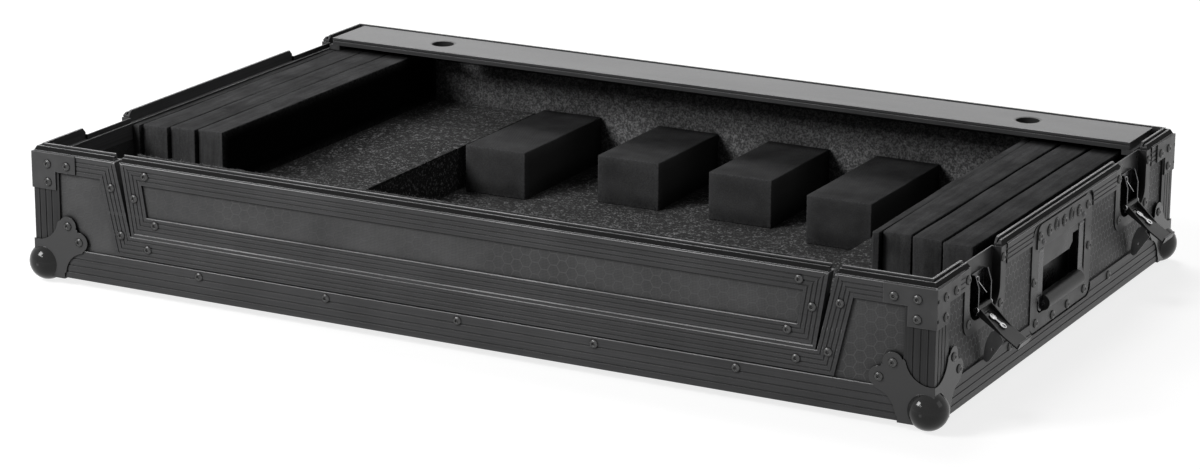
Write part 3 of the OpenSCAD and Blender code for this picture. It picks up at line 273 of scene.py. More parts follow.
laminate = honeycomb("honeycomb_laminate", front_cell_r, False, (0.058, 0.058, 0.059),
                     (0.092, 0.092, 0.093), (0.105, 0.105, 0.106), 0.2)
finish_with(laminate, "front_board", "rear_board", "panel_board")
# The end boards' laminate is a copy with darker cells, painted shade, and paler lines, painted
# highlight.
shaded_end_laminate = honeycomb("honeycomb_ends_shaded", end_cell_r, True, (0.022, 0.022, 0.0225),
                         (0.036, 0.036, 0.037), (0.24, 0.24, 0.243), 0.7)
finish_with(shaded_end_laminate, "left_board", "right_board")


# Bottom board, cover battens and platform boards. The bottom and the battens under the rear
# cover are plywood with a smooth black film. The platforms are raw birch plywood, which only
# shows below the carpet's edges.
film, tree, shader = new_material("floor_film", (0.04, 0.04, 0.04), 0.5)
grain = noise(tree, on_piece(tree), 260.0, 5.0)
painted(tree, shader, shades(tree, grain, (0.03, 0.03, 0.031), (0.055, 0.055, 0.056), 0.35, 0.65))
bumped(tree, shader, grain, 0.0001)
finish_with(film, "bottom_board", "cover_rests")


def stretched(tree, vector, scale):
    """Places scaled along each axis, which draws a pattern out along the smallest."""
    return add(tree, "ShaderNodeMapping", {"Vector": vector, "Scale": scale}).outputs[0]


plywood, tree, shader = new_material("birch_plywood", (0.5, 0.36, 0.22), 0.65)
grain = noise(tree, stretched(tree, on_piece(tree), (6.0, 90.0, 90.0)), 3.0, 6.0, 0.65)
painted(tree, shader, shades(tree, grain, (0.36, 0.24, 0.13), (0.6, 0.45, 0.29), 0.3, 0.7))
bumped(tree, shader, grain, 0.0002)
finish_with(plywood, "platforms")


# Edging, corner posts, rims and trims: extruded aluminium with rolled grooves, anodised black.
# Drawing the metal leaves faint streaks along each length. Its edges are painted bright, partly
# as rubbed wear and partly as a painted highlight on edges that face up, most of all the rim's
# shoulder and the edges of the front's grooves. The slopes are painted dark as painted shade,
# and the corner posts darker than the level edging, also painted shade.
def rounded(tree, radius):
    """A normal that rounds sharp edges by a radius."""
    return add(tree, "ShaderNodeBevel", {"Radius": radius}, samples=4).outputs[0]


def true_normal(tree):
    return add(tree, "ShaderNodeNewGeometry").outputs["True Normal"]


def axis_of(tree, vector, axis):
    return add(tree, "ShaderNodeSeparateXYZ", {0: vector}).outputs[axis]


def likeness(tree, normal, other):
    """One where two normals point the same way, and less where they part."""
    return add(tree, "ShaderNodeVectorMath", {0: normal, 1: other},
               operation="DOT_PRODUCT").outputs["Value"]


def rubbed_and_lit_edges(tree, place, radius, patches, sides, reach=0.0009):
    """A mask of rubbed wear and painted highlight: one along narrow edges that face up, a share of
    that on other edges; the softened normal, how far the face looks up, and how near it is to an
    edge that turns up."""
    true, wide = true_normal(tree), rounded(tree, reach)
    upward = axis_of(tree, true, "Z")
    crest = math_node(tree, "SUBTRACT", axis_of(tree, wide, "Z"), upward)
    shelter = add(tree, "ShaderNodeAmbientOcclusion", {"Distance": 0.0022}, samples=6).outputs["AO"]
    edge = math_node(tree, "MULTIPLY",
                     between(tree, likeness(tree, wide, true), 0.996, 0.93, 0.0, 1.0),
                     between(tree, upward, 0.7, 0.9, sides, 1.0))
    edge = math_node(tree, "MULTIPLY", edge, between(tree, shelter, 0.6, 0.9, 0.0, 1.0))
    edge = math_node(tree, "MULTIPLY", edge, between(
        tree, noise(tree, place, patches, 4.0), 0.35, 0.6, 0.45, 1.0))
    return edge, rounded(tree, radius), upward, crest


def inside(tree, value, low, high):
    """One where a value lies between low and high."""
    return math_node(tree, "MULTIPLY", math_node(tree, "GREATER_THAN", value, low),
                     math_node(tree, "LESS_THAN", value, high))


# Heights of the rim's shoulder and of the edges of the front's grooves, where painted highlight
# lines run.
rim_shoulder = (0.1278, 0.1302)
groove_edges = ((0.0355, 0.0392), (0.0575, 0.0596), (0.0608, 0.0627), (0.0782, 0.0812))
bare_and_lit_metal, painted_slope_shade = (0.8, 0.8, 0.81), (0.012, 0.012, 0.0122)


def anodised(name, stretch, dark, light):
    """Grooved aluminium with streaks along it, slopes painted dark as shade, and edges painted
    bright as rubbed wear and painted highlight.
    """
    made, tree, shader = new_material(name, (0.05, 0.05, 0.05), 0.34, Specular_IOR_Level=0.2)
    place = on_piece(tree)
    streak = noise(tree, stretched(tree, place, stretch), 1.0, 4.0, 0.6)
    cloud = noise(tree, place, 18.0, 4.0)
    rubbed_and_lit, soft, upward, crest = rubbed_and_lit_edges(tree, place, 0.0004, 9.0, 0.05, 0.0013)
    tint = shades(tree, math_node(tree, "ADD", math_node(tree, "MULTIPLY", streak, 0.6),
                                  math_node(tree, "MULTIPLY", cloud, 0.4)),
                  dark, light, 0.35, 0.65)
    # Faces between level and upright are painted near black and made rough: painted shade.
    slope = math_node(tree, "MULTIPLY", between(tree, upward, 0.15, 0.3, 0.0, 1.0),
                      between(tree, upward, 0.6, 0.75, 1.0, 0.0))
    tint = shade_in_hollows(tree, mixed(tree, slope, tint, painted_slope_shade), 0.003, 0.03)
    height = axis_of(tree, place, "Z")
    frontal = math_node(tree, "LESS_THAN", axis_of(tree, true_normal(tree), "Y"), -0.8)
    # Thin bands along the groove edges and the rim's shoulder are painted bright: painted
    # highlight.
    lines = inside(tree, height, *groove_edges[0])
    for low, high in groove_edges[1:]:
        lines = math_node(tree, "ADD", lines, inside(tree, height, low, high))
    lines = math_node(tree, "MULTIPLY", lines, math_node(
        tree, "MULTIPLY", frontal, between(tree, crest, 0.06, 0.3, 0.0, 1.0)))
    shoulder = math_node(tree, "MULTIPLY", inside(tree, height, *rim_shoulder),
                         between(tree, crest, 0.02, 0.1, 0.0, 1.0))
    lines = math_node(tree, "MULTIPLY", math_node(tree, "ADD", lines, shoulder),
                      between(tree, noise(tree, place, 5.0, 4.0), 0.38, 0.6, 0.5, 1.0))
    rubbed_and_lit = math_node(tree, "MAXIMUM", rubbed_and_lit, lines)
    painted(tree, shader, mixed(tree, rubbed_and_lit, tint, bare_and_lit_metal),
            math_node(tree, "MAXIMUM", between(tree, streak, 0.3, 0.7, 0.28, 0.42), slope))
    bumped(tree, shader, streak, 0.00006, soft)
    return made


along_grain, across_grain = 2.5, 700.0
level_edging = anodised("edging_level", (along_grain, along_grain, across_grain),
                        (0.044, 0.044, 0.045), (0.074, 0.074, 0.076))
# The corner posts' edging is a darker copy of the level edging: painted shade.
shaded_upright_edging = anodised("edging_upright_shaded", (across_grain, across_grain, along_grain),
                          (0.022, 0.022, 0.0225), (0.044, 0.044, 0.045))
finish_with(level_edging, "bottom_edging", "rim_front", "rim_rear", "rim_left", "rim_right",
            "opening_trim", "panel_rim", "panel_frame", "cover_trim")
finish_with(shaded_upright_edging, "corner_posts")


# Pressed steel: top corner brackets, latch plates, handle plate, stop plate, wheel wells and the
# latch arms, stamped and coated satin black, with a faint orange peel in the coat. The latches'
# folding wings are plated with grey zinc, painted lighter than zinc as painted light.
def coated(name, dark, light, rubbed_and_lit_color, reach=0.009, least=0.06):
    """Sheet metal with a thin even coat, its edges painted another colour as rubbed wear and
    painted highlight.
    """
    made, tree, shader = new_material(name, light, 0.3, Specular_IOR_Level=0.22)
    place = on_piece(tree)
    cloud = noise(tree, place, 35.0, 4.0)
    rubbed_and_lit, soft = rubbed_and_lit_edges(tree, place, 0.0006, 40.0, 0.45)[:2]
    tint = shade_in_hollows(tree, shades(tree, cloud, dark, light, 0.35, 0.65), reach, least)
    painted(tree, shader, mixed(tree, rubbed_and_lit, tint, rubbed_and_lit_color),
            between(tree, cloud, 0.35, 0.65, 0.26, 0.4))
    bumped(tree, shader, noise(tree, place, 700.0, 2.0), 0.00004, soft)
    return made


latch_ends = ("rf", "rr", "lf", "lr")
plates = coated("coated_steel", (0.055, 0.055, 0.056), (0.08, 0.08, 0.081), (0.3, 0.3, 0.305))
finish_with(plates, "corner_brackets", "handle_stop", "wheel_wells")
dishes = coated("coated_dishes", (0.05, 0.05, 0.051), (0.07, 0.07, 0.071), (0.25, 0.25, 0.255),
                0.03, 0.02)
finish_with(dishes, "latch_dishes", "handle_dish")
arms = coated("black_arms", (0.012, 0.012, 0.012), (0.026, 0.026, 0.026), (0.42, 0.42, 0.43))
finish_with(arms, *("latch_arm_" + end for end in latch_ends))
# The wings' grey is lighter than their zinc: painted light where they lie in shade.
lit_zinc_wings = coated("zinc_wings_painted_lit", (0.28, 0.28, 0.284), (0.44, 0.44, 0.446), (0.7, 0.7, 0.71))
finish_with(lit_zinc_wings, *("latch_wing_" + end for end in latch_ends))


# Stop plate's fittings: a star washer under each of three rivets, and a round black bush in each
# of the two slots, pressed from steel.
plate_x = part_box("handle_stop")[1][0]
sheet_t, washer_r, washer_z, washer_pitch, notch_share = 0.0005, 0.0058, 0.1159, 0.037, 0.78
bush_r, bush_y, bush_z = 0.0062, 0.0185, 0.1172
bush_rings = ((0.0011, -0.0003), (0.0016, 0.0006), (0.0009, -0.0006))


def round_blank(name, radius, sides, place):
    """A thin disc against the stop plate, open in edit mode after."""
    bpy.ops.object.select_all(action="DESELECT")
    bpy.ops.mesh.primitive_cylinder_add(vertices=sides, radius=radius, depth=sheet_t)
    piece = bpy.context.object
    piece.name = piece.data.name = name
    bpy.ops.object.mode_set(mode="EDIT")
    bpy.ops.transform.rotate(value=math.pi / 2, orient_axis="Y", center_override=(0, 0, 0))
    bpy.ops.transform.translate(value=place)
    return piece


def outer_face(piece):
    """Selects the disc's face that looks away from the case."""
    bpy.ops.mesh.select_all(action="DESELECT")
    bpy.ops.object.mode_set(mode="OBJECT")
    for face in piece.data.polygons:
        face.select = face.normal.x > 0.9 and len(face.vertices) > 4
    bpy.ops.object.mode_set(mode="EDIT")


def joined(pieces, name):
    """One piece of several, as a fitting of the case."""
    bpy.ops.object.select_all(action="DESELECT")
    for piece in pieces:
        piece.select_set(True)
    bpy.context.view_layer.objects.active = pieces[0]
    bpy.ops.object.join()
    whole = bpy.context.object
    whole.name = whole.data.name = name
    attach(whole, "case")
    return whole


washers = []
for y in (-washer_pitch, 0.0, washer_pitch):
    washer = round_blank("star_washer", washer_r, 24, (plate_x + sheet_t / 2, y, washer_z))
    bpy.ops.object.mode_set(mode="OBJECT")
    for i, vertex in enumerate(washer.data.vertices):
        if i // 2 % 2:
            vertex.co.y = y + (vertex.co.y - y) * notch_share
            vertex.co.z = washer_z + (vertex.co.z - washer_z) * notch_share
    washers.append(washer)
star_washers = joined(washers, "star_washers")

bushes = []
for y in (-bush_y, bush_y):
    bush = round_blank("slot_bush", bush_r, 32, (plate_x + sheet_t / 2, y, bush_z))
    outer_face(bush)
    for ring_w, push in bush_rings:
        bpy.ops.mesh.inset(thickness=ring_w)
        bpy.ops.transform.translate(value=(push, 0, 0))
    bpy.ops.object.mode_set(mode="OBJECT")
    bushes.append(bush)
slot_bushes = joined(bushes, "slot_bushes")
bush_black = coated("black_bushes", (0.008, 0.008, 0.008), (0.018, 0.018, 0.018),
                    (0.35, 0.35, 0.355))
for fitting in (star_washers, slot_bushes):
    fitting.data.materials.append(bush_black)


# Ball corners: a deep drawn steel ball on three plates that are riveted to the case's faces,
# coated gloss black. The flat plates are painted a little greyer than the ball: a painted sheen
# on the same coat.
gloss, tree, shader = new_material("gloss_black", (0.006, 0.006, 0.006), 0.08,
                                   Specular_IOR_Level=0.3)
place = on_piece(tree)
scuff = noise(tree, place, 60.0, 5.0, 0.6)
outward = add(tree, "ShaderNodeNewGeometry").outputs["Normal"]
outward = add(tree, "ShaderNodeVectorMath", {0: outward}, operation="ABSOLUTE").outputs[0]
outward = add(tree, "ShaderNodeSeparateXYZ", {0: outward})
flatness = math_node(tree, "MAXIMUM", outward.outputs["X"], outward.outputs["Y"])
tint = shades(tree, scuff, (0.005, 0.005, 0.005), (0.012, 0.012, 0.012), 0.4, 0.7)
# Faces that look straight out to a side are painted grey: painted sheen.
tint = mixed(tree, between(tree, flatness, 0.996, 0.999, 0.0, 1.0), tint, (0.055, 0.055, 0.056))
painted(tree, shader, shade_in_hollows(tree, tint, 0.004, 0.3), between(tree, scuff, 0.4, 0.7, 0.08, 0.15))
bumped(tree, shader, noise(tree, place, 500.0, 2.0), 0.00003, rounded(tree, 0.0006))
finish_with(gloss, "ball_corners")


# Rivets: blind rivets of steel, plated black, with a domed head and the broken stem's end in the
# middle. They hold the edging, the trims, the brackets, the balls and the recessed plates.
rivet_black, tree, shader = new_material("rivet_black", (0.06, 0.06, 0.06), 0.26, Metallic=1.0)
scuff = noise(tree, on_piece(tree), 400.0, 3.0)
tint = shades(tree, scuff, (0.06, 0.06, 0.06), (0.09, 0.09, 0.09), 0.4, 0.72)
painted(tree, shader, shade_in_hollows(tree, tint, 0.0018, 0.02), between(tree, scuff, 0.3, 0.7, 0.22, 0.3))
bumped(tree, shader, scuff, 0.00001, rounded(tree, 0.0012))
finish_with(rivet_black, "body_rivets", "fitting_rivets", "panel_rivets")


# Latch brackets, wheel axles and the handle's bail: steel under a dark plating. The handle's
# pins have polished domes, the latch springs are plain spring steel, and the latch pins and cams
# are nickel plated.
def plated(name, dark, light, roughness):
    """Bare or plated metal, a little uneven, with edges painted brighter as rubbed wear and painted
    highlight.
    """
    made, tree, shader = new_material(name, light, roughness, Metallic=1.0)
    place = on_piece(tree)
    rub = noise(tree, place, 180.0, 4.0, 0.6)
    rubbed_and_lit, soft = rubbed_and_lit_edges(tree, place, 0.0005, 60.0, 0.5)[:2]
    tint = shade_in_hollows(tree, shades(tree, rub, dark, light, 0.35, 0.65), 0.01, 0.15)
    painted(tree, shader, mixed(tree, rubbed_and_lit, tint, tuple(min(1.0, c * 3) for c in light)),
            between(tree, rub, 0.3, 0.7, roughness * 0.7, roughness * 1.4))
    bumped(tree, shader, rub, 0.00003, soft)
    return made


dark_plate = plated("dark_plating", (0.02, 0.02, 0.021), (0.07, 0.07, 0.073), 0.24)
dome_plate = plated("polished_domes", (0.05, 0.05, 0.052), (0.09, 0.09, 0.092), 0.1)
nickel = plated("nickel_plating", (0.35, 0.35, 0.36), (0.75, 0.75, 0.76), 0.16)
spring_steel = plated("spring_steel", (0.1, 0.1, 0.1), (0.3, 0.3, 0.305), 0.2)
finish_with(dark_plate, "latch_brackets", "wheel_axles", "handle_bail")
finish_with(dome_plate, "handle_pins")
finish_with(spring_steel, "latch_springs")
finish_with(nickel, "latch_pins", *("latch_cam_" + end for end in latch_ends))


# Rubber and plastic: the handle's grip, the feet and the tyres are moulded in black rubber, and
# the wheels' hubs in a dark plastic. All have the fine grain of their mould.
def moulded(name, color, roughness, grain):
    """Rubber or plastic with the grain of its mould."""
    made, tree, shader = new_material(name, color, roughness, Specular_IOR_Level=0.2)
    skin = noise(tree, on_piece(tree), grain, 3.0)
    painted(tree, shader, shades(tree, skin, tuple(c * 0.7 for c in color),
                                 tuple(c * 1.35 for c in color), 0.35, 0.65))
    bumped(tree, shader, skin, 0.00008, rounded(tree, 0.0007))
    return made


finish_with(moulded("grip_rubber", (0.02, 0.02, 0.02), 0.36, 900.0), "handle_grip")
finish_with(moulded("foot_rubber", (0.018, 0.018, 0.018), 0.7, 500.0), "rubber_feet")
finish_with(moulded("tyre_rubber", (0.02, 0.02, 0.02), 0.6, 600.0),
            "wheel_tyre_front", "wheel_tyre_rear")
finish_with(moulded("hub_plastic", (0.04, 0.04, 0.042), 0.4, 800.0),
            "wheel_hub_front", "wheel_hub_rear")


# Rear cover: a strip of board faced with smooth laminate, with black edges. Its top is painted
# grey, partly the laminate's tone and partly a painted sheen. Its two finger holes are sawn
# through, and each has a dished edge painted dark as painted shade.
smooth, tree, shader = new_material("smooth_laminate", (0.2, 0.2, 0.204), 0.34,
                                    Specular_IOR_Level=0.25)
place = on_piece(tree)
cloud = noise(tree, stretched(tree, place, (3.0, 12.0, 12.0)), 2.0, 4.0)
grit = noise(tree, place, 1400.0, 2.0)
tint = shades(tree, cloud, (0.155, 0.155, 0.157), (0.19, 0.19, 0.192), 0.3, 0.7)
upward = axis_of(tree, true_normal(tree), "Z")
# The top is grey and the other faces black; the top's grey is partly a painted sheen.
tint = mixed(tree, math_node(tree, "LESS_THAN", upward, 0.5), tint, (0.02, 0.02, 0.02))
spot = add(tree, "ShaderNodeSeparateXYZ", {0: place})
finger_x, finger_y, finger_r, dish_w, dish_d = 0.331, 0.24925, 0.01175, 0.003, 0.0006
from_hole = add(tree, "ShaderNodeCombineXYZ", {
    "X": math_node(tree, "SUBTRACT", math_node(tree, "ABSOLUTE", spot.outputs["X"]), finger_x),
    "Y": math_node(tree, "SUBTRACT", spot.outputs["Y"], finger_y)}).outputs[0]
from_hole = add(tree, "ShaderNodeVectorMath", {0: from_hole}, operation="LENGTH").outputs["Value"]
# A ring round each finger hole is dished and painted dark: painted shade.
dish = between(tree, from_hole, finger_r, finger_r + dish_w, 1.0, 0.0)
tint = mixed(tree, math_node(tree, "MULTIPLY", dish, 0.75), tint, (0.04, 0.04, 0.04))
painted(tree, shader, shade_in_hollows(tree, tint, 0.006, 0.5), between(tree, grit, 0.3, 0.7, 0.28, 0.42))
bumped(tree, shader, math_node(tree, "SUBTRACT", math_node(tree, "MULTIPLY", grit, 0.05), dish),
       dish_d, rounded(tree, 0.0006))
finish_with(smooth, "cover_board")


# Carpet: needle felt in charcoal, glued to the floor, the walls, the platforms and the inside of
# the lift-out panel. Pale fibres lie among the dark ones, and the pile is a little uneven. The
# walls' and panel's felt is lighter, partly painted light against the shade at the rear wall.
def needle_felt(name, dark, light, low, high):
    """Felt of dark fibres with light ones among them, more of these the lower the limits."""
    made, tree, shader = new_material(name, dark, 0.95, Sheen_Weight=0.1, Sheen_Roughness=0.6,
                                      Specular_IOR_Level=0.0)
    place = on_piece(tree)
    fibre = noise(tree, place, 520.0, 2.0, 0.7)
    tuft = noise(tree, place, 210.0, 3.0, 0.6)
    drift = noise(tree, place, 14.0, 3.0)
    pile_height = math_node(tree, "ADD", math_node(tree, "MULTIPLY", fibre, 0.6),
                            math_node(tree, "MULTIPLY", tuft, 0.4))
    tint = varied(tree, shades(tree, pile_height, dark, light, low, high),
                  between(tree, drift, 0.3, 0.7, 0.8, 1.2))
    painted(tree, shader, shade_in_hollows(tree, tint, 0.02, 0.4))
    bumped(tree, shader, pile_height, 0.002)
    return made


floor_carpet = needle_felt("speckled_felt", (0.004, 0.004, 0.0042), (0.185, 0.185, 0.188),
                           0.53, 0.62)
# A lighter felt for the walls and the panel: partly painted light.
lit_wall_carpet = needle_felt("charcoal_felt_lit", (0.07, 0.07, 0.071), (0.3, 0.3, 0.304), 0.44, 0.66)


def block(name, low, high, cuts):
    """A box between two corners, cut into even parts along each axis."""
    bpy.ops.object.select_all(action="DESELECT")
    bpy.ops.mesh.primitive_cube_add(size=1)
    piece = bpy.context.object
    piece.name = piece.data.name = name
    bpy.ops.object.mode_set(mode="EDIT")
    bpy.ops.transform.resize(value=[h - l for l, h in zip(low, high)])
    bpy.ops.transform.translate(value=[(h + l) / 2 for l, h in zip(low, high)])
    for axis, count in enumerate(cuts):
        for k in range(1, count):
            point, normal = [0, 0, 0], [0, 0, 0]
            point[axis] = low[axis] + (high[axis] - low[axis]) * k / count
            normal[axis] = 1
            bpy.ops.mesh.select_all(action="SELECT")
            bpy.ops.mesh.bisect(plane_co=point, plane_no=normal)
    bpy.ops.mesh.select_all(action="SELECT")
    bpy.ops.object.mode_set(mode="OBJECT")
    return piece


def shaped(piece, kind, **settings):
    """Adds a modifier and applies it."""
    made = piece.modifiers.new(kind.lower(), kind)
    for key, value in settings.items():
        setattr(made, key, value)
    bpy.ops.object.modifier_apply(modifier=made.name)


felt_cell, pile_rise = 0.014, 0.0008
pile = bpy.data.textures.new("pile", "CLOUDS")
pile.noise_scale = 0.03
pile.noise_depth = 2


def felt_lining(name, boxes, node, body="case",
                bend=None):
    """A lining over a CAD one: its boxes, cut finely, bent to their place and attached."""
    parts = [block(name, low, high, [max(1, round((h - l) / felt_cell)) for l, h in zip(low, high)])
             for low, high in boxes]
    for part in parts:
        part.select_set(True)
    if len(parts) > 1:
        bpy.ops.object.join()
    piece = bpy.context.object
    piece.name = piece.data.name = name
    if bend:
        for vertex in piece.data.vertices:
            vertex.co = bend(vertex.co)
    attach(piece, body)
    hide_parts(node)
    return piece


def napped(piece, material):
    """Raises the pile unevenly and gives it its felt."""
    shaped(piece, "DISPLACE", texture=pile, texture_coords="LOCAL", strength=pile_rise,
           mid_level=0.9)
    piece.data.materials.append(material)


inner_x, inner_y = 0.452, 0.281
floor_low, floor_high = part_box("carpet_floor")
napped(felt_lining("felt_floor", [(floor_low, floor_high)], "carpet_floor"), floor_carpet)

low_z, step_z, carpet_t = floor_low[2], 0.065, 0.003
left_x, right_x = floor_low[0], floor_high[0]
bay_x, bay_y = 0.4475, 0.0599
napped(felt_lining("felt_platforms", [
    ((-inner_x, -inner_y, step_z - carpet_t), (left_x, inner_y, step_z)),
    ((left_x - carpet_t, -inner_y, low_z), (left_x, inner_y, step_z - carpet_t)),
    ((right_x, -inner_y, step_z - carpet_t), (bay_x, inner_y, step_z)),
    ((bay_x, -inner_y, step_z - carpet_t), (inner_x, -bay_y, step_z)),
    ((bay_x, bay_y, step_z - carpet_t), (inner_x, inner_y, step_z)),
    ((right_x, -inner_y, low_z), (right_x + carpet_t, inner_y, step_z - carpet_t))],
    "carpet_platforms"), floor_carpet)

wall_low, wall_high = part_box("carpet_walls")
sill_z, jamb_foot, jamb_lean, slack = 0.047, 0.3402, 0.225, 0.001


def beside_opening(co):
    """Leans the edges of the front lining beside the opening."""
    if co.y < 0 and co.z > sill_z + slack and abs(co.x) > jamb_foot - slack:
        edge = jamb_foot + jamb_lean * (co.z - sill_z)
        share = (abs(co.x) - jamb_foot) / (wall_high[0] - jamb_foot)
        co.x = math.copysign(edge + share * (wall_high[0] - edge), co.x)
    return co


napped(felt_lining("felt_walls", [
    ((wall_low[0], inner_y, low_z), (wall_high[0], wall_high[1], wall_high[2])),
    ((wall_low[0], wall_low[1], low_z), (wall_high[0], -inner_y, sill_z)),
    ((wall_low[0], wall_low[1], sill_z), (-jamb_foot, -inner_y, wall_high[2])),
    ((jamb_foot, wall_low[1], sill_z), (wall_high[0], -inner_y, wall_high[2]))],
    "carpet_walls",
    bend=beside_opening), lit_wall_carpet)


# Lining of the lift-out panel: the same felt, run up behind the rim's tongue, where its cut
# edge shows as a fuzzy line of loose fibres.
panel_low, panel_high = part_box("panel_lining")
panel_lean = 0.157


def beside_panel(co):
    """Leans the ends of the panel's lining."""
    co.x *= 1 - panel_lean * (panel_high[2] - co.z) / panel_high[0]
    return co


tongue_back, tongue_top, lip_t, lip_share = -0.282, 0.1362, 0.001, 1.01
lip_x = panel_high[0] * lip_share
fibre_count, fibre_r, shortest_fibre, fibre_growth = 1000, 0.00011, 0.0008, 0.0024
root_depth, clump_count, clump_spread = 0.0002, 34, 0.006
random.seed(5)
bpy.ops.object.select_all(action="DESELECT")
bpy.ops.mesh.primitive_cone_add(vertices=3, radius1=fibre_r, radius2=fibre_r / 2, depth=1,
                                location=(0, 0, 0.5))
fringe = bpy.context.object
bpy.ops.object.transform_apply(location=True)
fringe.name = fringe.data.name = "felt_fringe"
strand = [v.co.copy() for v in fringe.data.vertices]
sides = [tuple(f.vertices) for f in fringe.data.polygons]
clumps = [random.uniform(-lip_x, lip_x) for _ in range(clump_count)]
points, faces = [], []
for i in range(fibre_count):
    x = (random.uniform(-lip_x, lip_x) if i % 2 else
         random.gauss(random.choice(clumps), clump_spread))
    x = max(-lip_x, min(lip_x, x))
    lean = Vector((random.uniform(-1, 1), random.uniform(-0.6, 0.5),
                   random.uniform(0.05, 1))).normalized()
    length = shortest_fibre + fibre_growth * random.random() ** 3
    turn = lean.to_track_quat("Z", "Y")
    root = Vector((x, random.uniform(tongue_back, tongue_back + lip_t), tongue_top - root_depth))
    faces += [tuple(k + len(points) for k in side) for side in sides]
    points += [root + turn @ Vector((p.x, p.y, p.z * length)) for p in strand]
fringe.data.clear_geometry()
fringe.data.from_pydata(points, [], faces)
fibres, tree, shader = new_material("pale_fibres", (0.4, 0.4, 0.4), 0.8, Specular_IOR_Level=0.1)
painted(tree, shader, shades(tree, noise(tree, on_piece(tree), 300.0), (0.04, 0.04, 0.04),
                             (0.42, 0.42, 0.43), 0.35, 0.65))
fringe.data.materials.append(fibres)
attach(fringe, "front_panel")

lining = felt_lining("felt_panel", [
    ((-panel_high[0], panel_low[1], panel_low[2]), (panel_high[0], panel_high[1], panel_high[2])),
    ((-panel_high[0], tongue_back, panel_high[2]),
     (panel_high[0], tongue_back + lip_t, tongue_top))],
    "panel_lining", body="front_panel",
    bend=beside_panel)
napped(lining, lit_wall_carpet)


# Side linings: a thin black cloth with a fine slanting weave, glued to the end boards above the
# platforms.
cloth_rib, board_x, side_top = 0.0024, 0.454, 0.1085
woven, tree, shader = new_material("black_weave", (0.015, 0.015, 0.015), 0.8,
                                   Specular_IOR_Level=0.1)
place = on_piece(tree)
split = add(tree, "ShaderNodeSeparateXYZ", {0: place})
rising = math_node(tree, "ADD", math_node(tree, "ADD", split.outputs["X"], split.outputs["Y"]),
                   split.outputs["Z"])
rib = math_node(tree, "SINE", math_node(tree, "MULTIPLY", rising, 2 * math.pi / cloth_rib))
height = math_node(tree, "ADD", math_node(tree, "MULTIPLY", rib, 0.3),
                   noise(tree, place, 900.0, 3.0))
painted(tree, shader, shades(tree, height, (0.006, 0.006, 0.006), (0.04, 0.04, 0.041), 0.2, 0.85))
bumped(tree, shader, height, 0.0004)
cloth = felt_lining("cloth_sides", [
    ((-board_x, -inner_y, step_z), (-inner_x, inner_y, side_top)),
    ((inner_x, -inner_y, step_z), (board_x, -bay_y, side_top)),
    ((inner_x, bay_y, step_z), (board_x, inner_y, side_top))],
    "side_linings")
cloth.data.materials.append(woven)


# Foam: strips of closed cell foam that stand on the platforms, thin ones innermost on the right
# and outermost on the left, and four blocks along the rear wall. They are sawn from sheets, so
# the faces are a little wavy, and their edges have rubbed light in places. Their sideways faces
# are painted a plain side colour, near black on the strips: painted shade.
rib_pitch, foam_cell, sawn_edge = 0.0042, 0.016, 0.0009


def sawn_foam(name, ribbed, skin, side):
    """Foam whose tops are ribbed, or else dragged and scratched by the saw."""
    made, tree, shader = new_material(name, skin, 0.9, Specular_IOR_Level=0.0)
    place = on_piece(tree)
    cells = noise(tree, place, 1100.0, 3.0, 0.7)
    mottle = noise(tree, place, 26.0, 4.0, 0.6)
    soft, true = rounded(tree, 0.0018), true_normal(tree)
    facing = add(tree, "ShaderNodeSeparateXYZ", {0: true})
    dots = noise(tree, place, 420.0, 2.0)
    rubbed = math_node(tree, "MULTIPLY",
                       between(tree, likeness(tree, soft, true), 0.998, 0.94, 0.0, 1.0),
                       between(tree, dots, 0.38, 0.62, 0.35, 1.0))
    rubbed = math_node(tree, "MULTIPLY", rubbed,
                       between(tree, facing.outputs["Z"], 0.5, 0.8, 1.0, 0.25))
    tint = shades(tree, mottle, tuple(c * 0.75 for c in skin), tuple(c * 1.25 for c in skin),
                  0.3, 0.7)
    tint = varied(tree, tint, between(tree, cells, 0.3, 0.7, 0.7, 1.3))
    if ribbed:
        split = add(tree, "ShaderNodeSeparateXYZ", {0: place})
        slope = math_node(tree, "ADD", split.outputs["X"],
                          math_node(tree, "MULTIPLY", split.outputs["Y"], 1.4))
        rib = math_node(tree, "SINE", math_node(tree, "MULTIPLY", slope, 2 * math.pi / rib_pitch))
        rib = math_node(tree, "MULTIPLY", rib,
                        math_node(tree, "GREATER_THAN", facing.outputs["Z"], 0.7))
        tint = varied(tree, tint, between(tree, rib, -1.0, 1.0, 0.68, 1.32))
        height = math_node(tree, "ADD", cells, math_node(tree, "MULTIPLY", rib, 0.5))
    else:
        drag = noise(tree, stretched(tree, place, (170.0, 14.0, 30.0)), 1.0, 5.0, 0.7)
        scratch = noise(tree, stretched(tree, place, (60.0, 420.0, 60.0)), 1.0, 2.0, 0.6)
        tint = varied(tree, tint, between(tree, drag, 0.3, 0.7, 0.72, 1.28))
        tint = mixed(tree, between(tree, scratch, 0.7, 0.78, 0.0, 0.6), tint, (0.13, 0.13, 0.133))
        height = math_node(tree, "ADD", cells, math_node(tree, "MULTIPLY", drag, 0.8))
    # Faces that look sideways take the side colour: painted shade.
    sideways = math_node(tree, "ABSOLUTE", facing.outputs["X"])
    tint = mixed(tree, between(tree, sideways, 0.6, 0.85, 0.0, 1.0), tint, side)
    tint = shade_in_hollows(tree, tint, 0.02, 0.3)
    painted(tree, shader, mixed(tree, rubbed, tint, (0.105, 0.105, 0.107)))
    bumped(tree, shader, height, 0.0004, soft)
    return made


saw = bpy.data.textures.new("saw_marks", "CLOUDS")
saw.noise_scale = 0.11
saw.noise_depth = 1


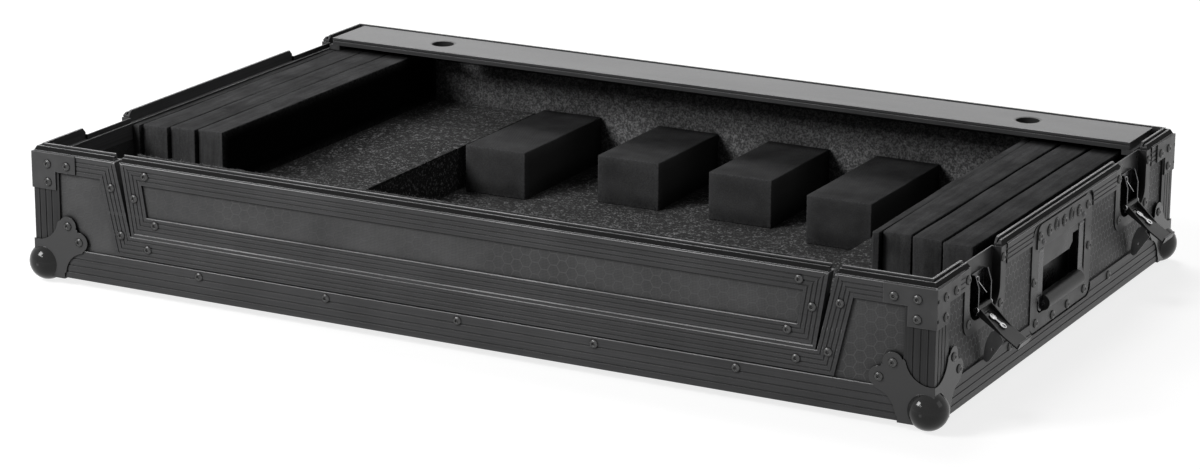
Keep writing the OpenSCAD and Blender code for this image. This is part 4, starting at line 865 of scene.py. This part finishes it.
def foam_pieces(name, boxes, node, material, wave):
    """Foam over a CAD node: its boxes, with softened edges and wavy faces, joined and attached."""
    parts = []
    for low, high in boxes:
        part = block(name, low, high,
                     [max(2, round((h - l) / foam_cell)) for l, h in zip(low, high)])
        shaped(part, "BEVEL", width=sawn_edge, segments=2, limit_method="ANGLE", angle_limit=1.0)
        shaped(part, "DISPLACE", texture=saw, texture_coords="LOCAL", strength=wave, mid_level=0.5)
        parts.append(part)
    for part in parts:
        part.select_set(True)
    bpy.ops.object.join()
    piece = bpy.context.object
    piece.name = piece.data.name = name
    bpy.ops.object.shade_smooth_by_angle(angle=0.7)
    piece.data.materials.append(material)
    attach(piece, "case")
    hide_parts(node)


strip_foam = sawn_foam("sawn_foam", False, (0.055, 0.055, 0.056), (0.004, 0.004, 0.004))
block_foam = sawn_foam("ribbed_foam", True, (0.05, 0.05, 0.051), (0.05, 0.05, 0.05))
strip_t, thin_t, strip_top = 0.028, 0.0075, 0.123
left_gap, right_gap, thin_gap, right_room = 0.0008, 0.0033, 0.0005, 0.017


def strips(rows):
    """Boxes of foam strips from their left edges, widths and front ends."""
    return [((x, front, step_z), (x + width, inner_y, strip_top)) for x, width, front in rows]


left_rows = [(-inner_x, thin_t, -0.149)]
left_rows += [(-inner_x + thin_t + left_gap + i * (strip_t + left_gap), strip_t, front)
              for i, front in enumerate((-0.143, -0.138, -0.133))]
first_right = inner_x - right_room - 3 * strip_t - 2 * right_gap
right_rows = [(first_right + i * (strip_t + right_gap), strip_t, front)
              for i, front in enumerate((-0.134, -0.139, -0.144))]
right_rows.append((first_right - thin_gap - thin_t, thin_t, -0.140))
foam_pieces("foam_strips_left", strips(left_rows), "foam_left", strip_foam, 0.0012)
foam_pieces("foam_strips_right", strips(right_rows), "foam_right", strip_foam, 0.0028)

block_w, block_foot, block_top = 0.069, 0.021, 0.070
block_rows = ((-0.1925, 0.115), (-0.0555, 0.145), (0.071, 0.142), (0.192, 0.112))
foam_pieces("foam_rear_blocks",
            [((x - block_w / 2, front, block_foot), (x + block_w / 2, inner_y, block_top))
             for x, front in block_rows], "foam_blocks", block_foam, 0.0012)
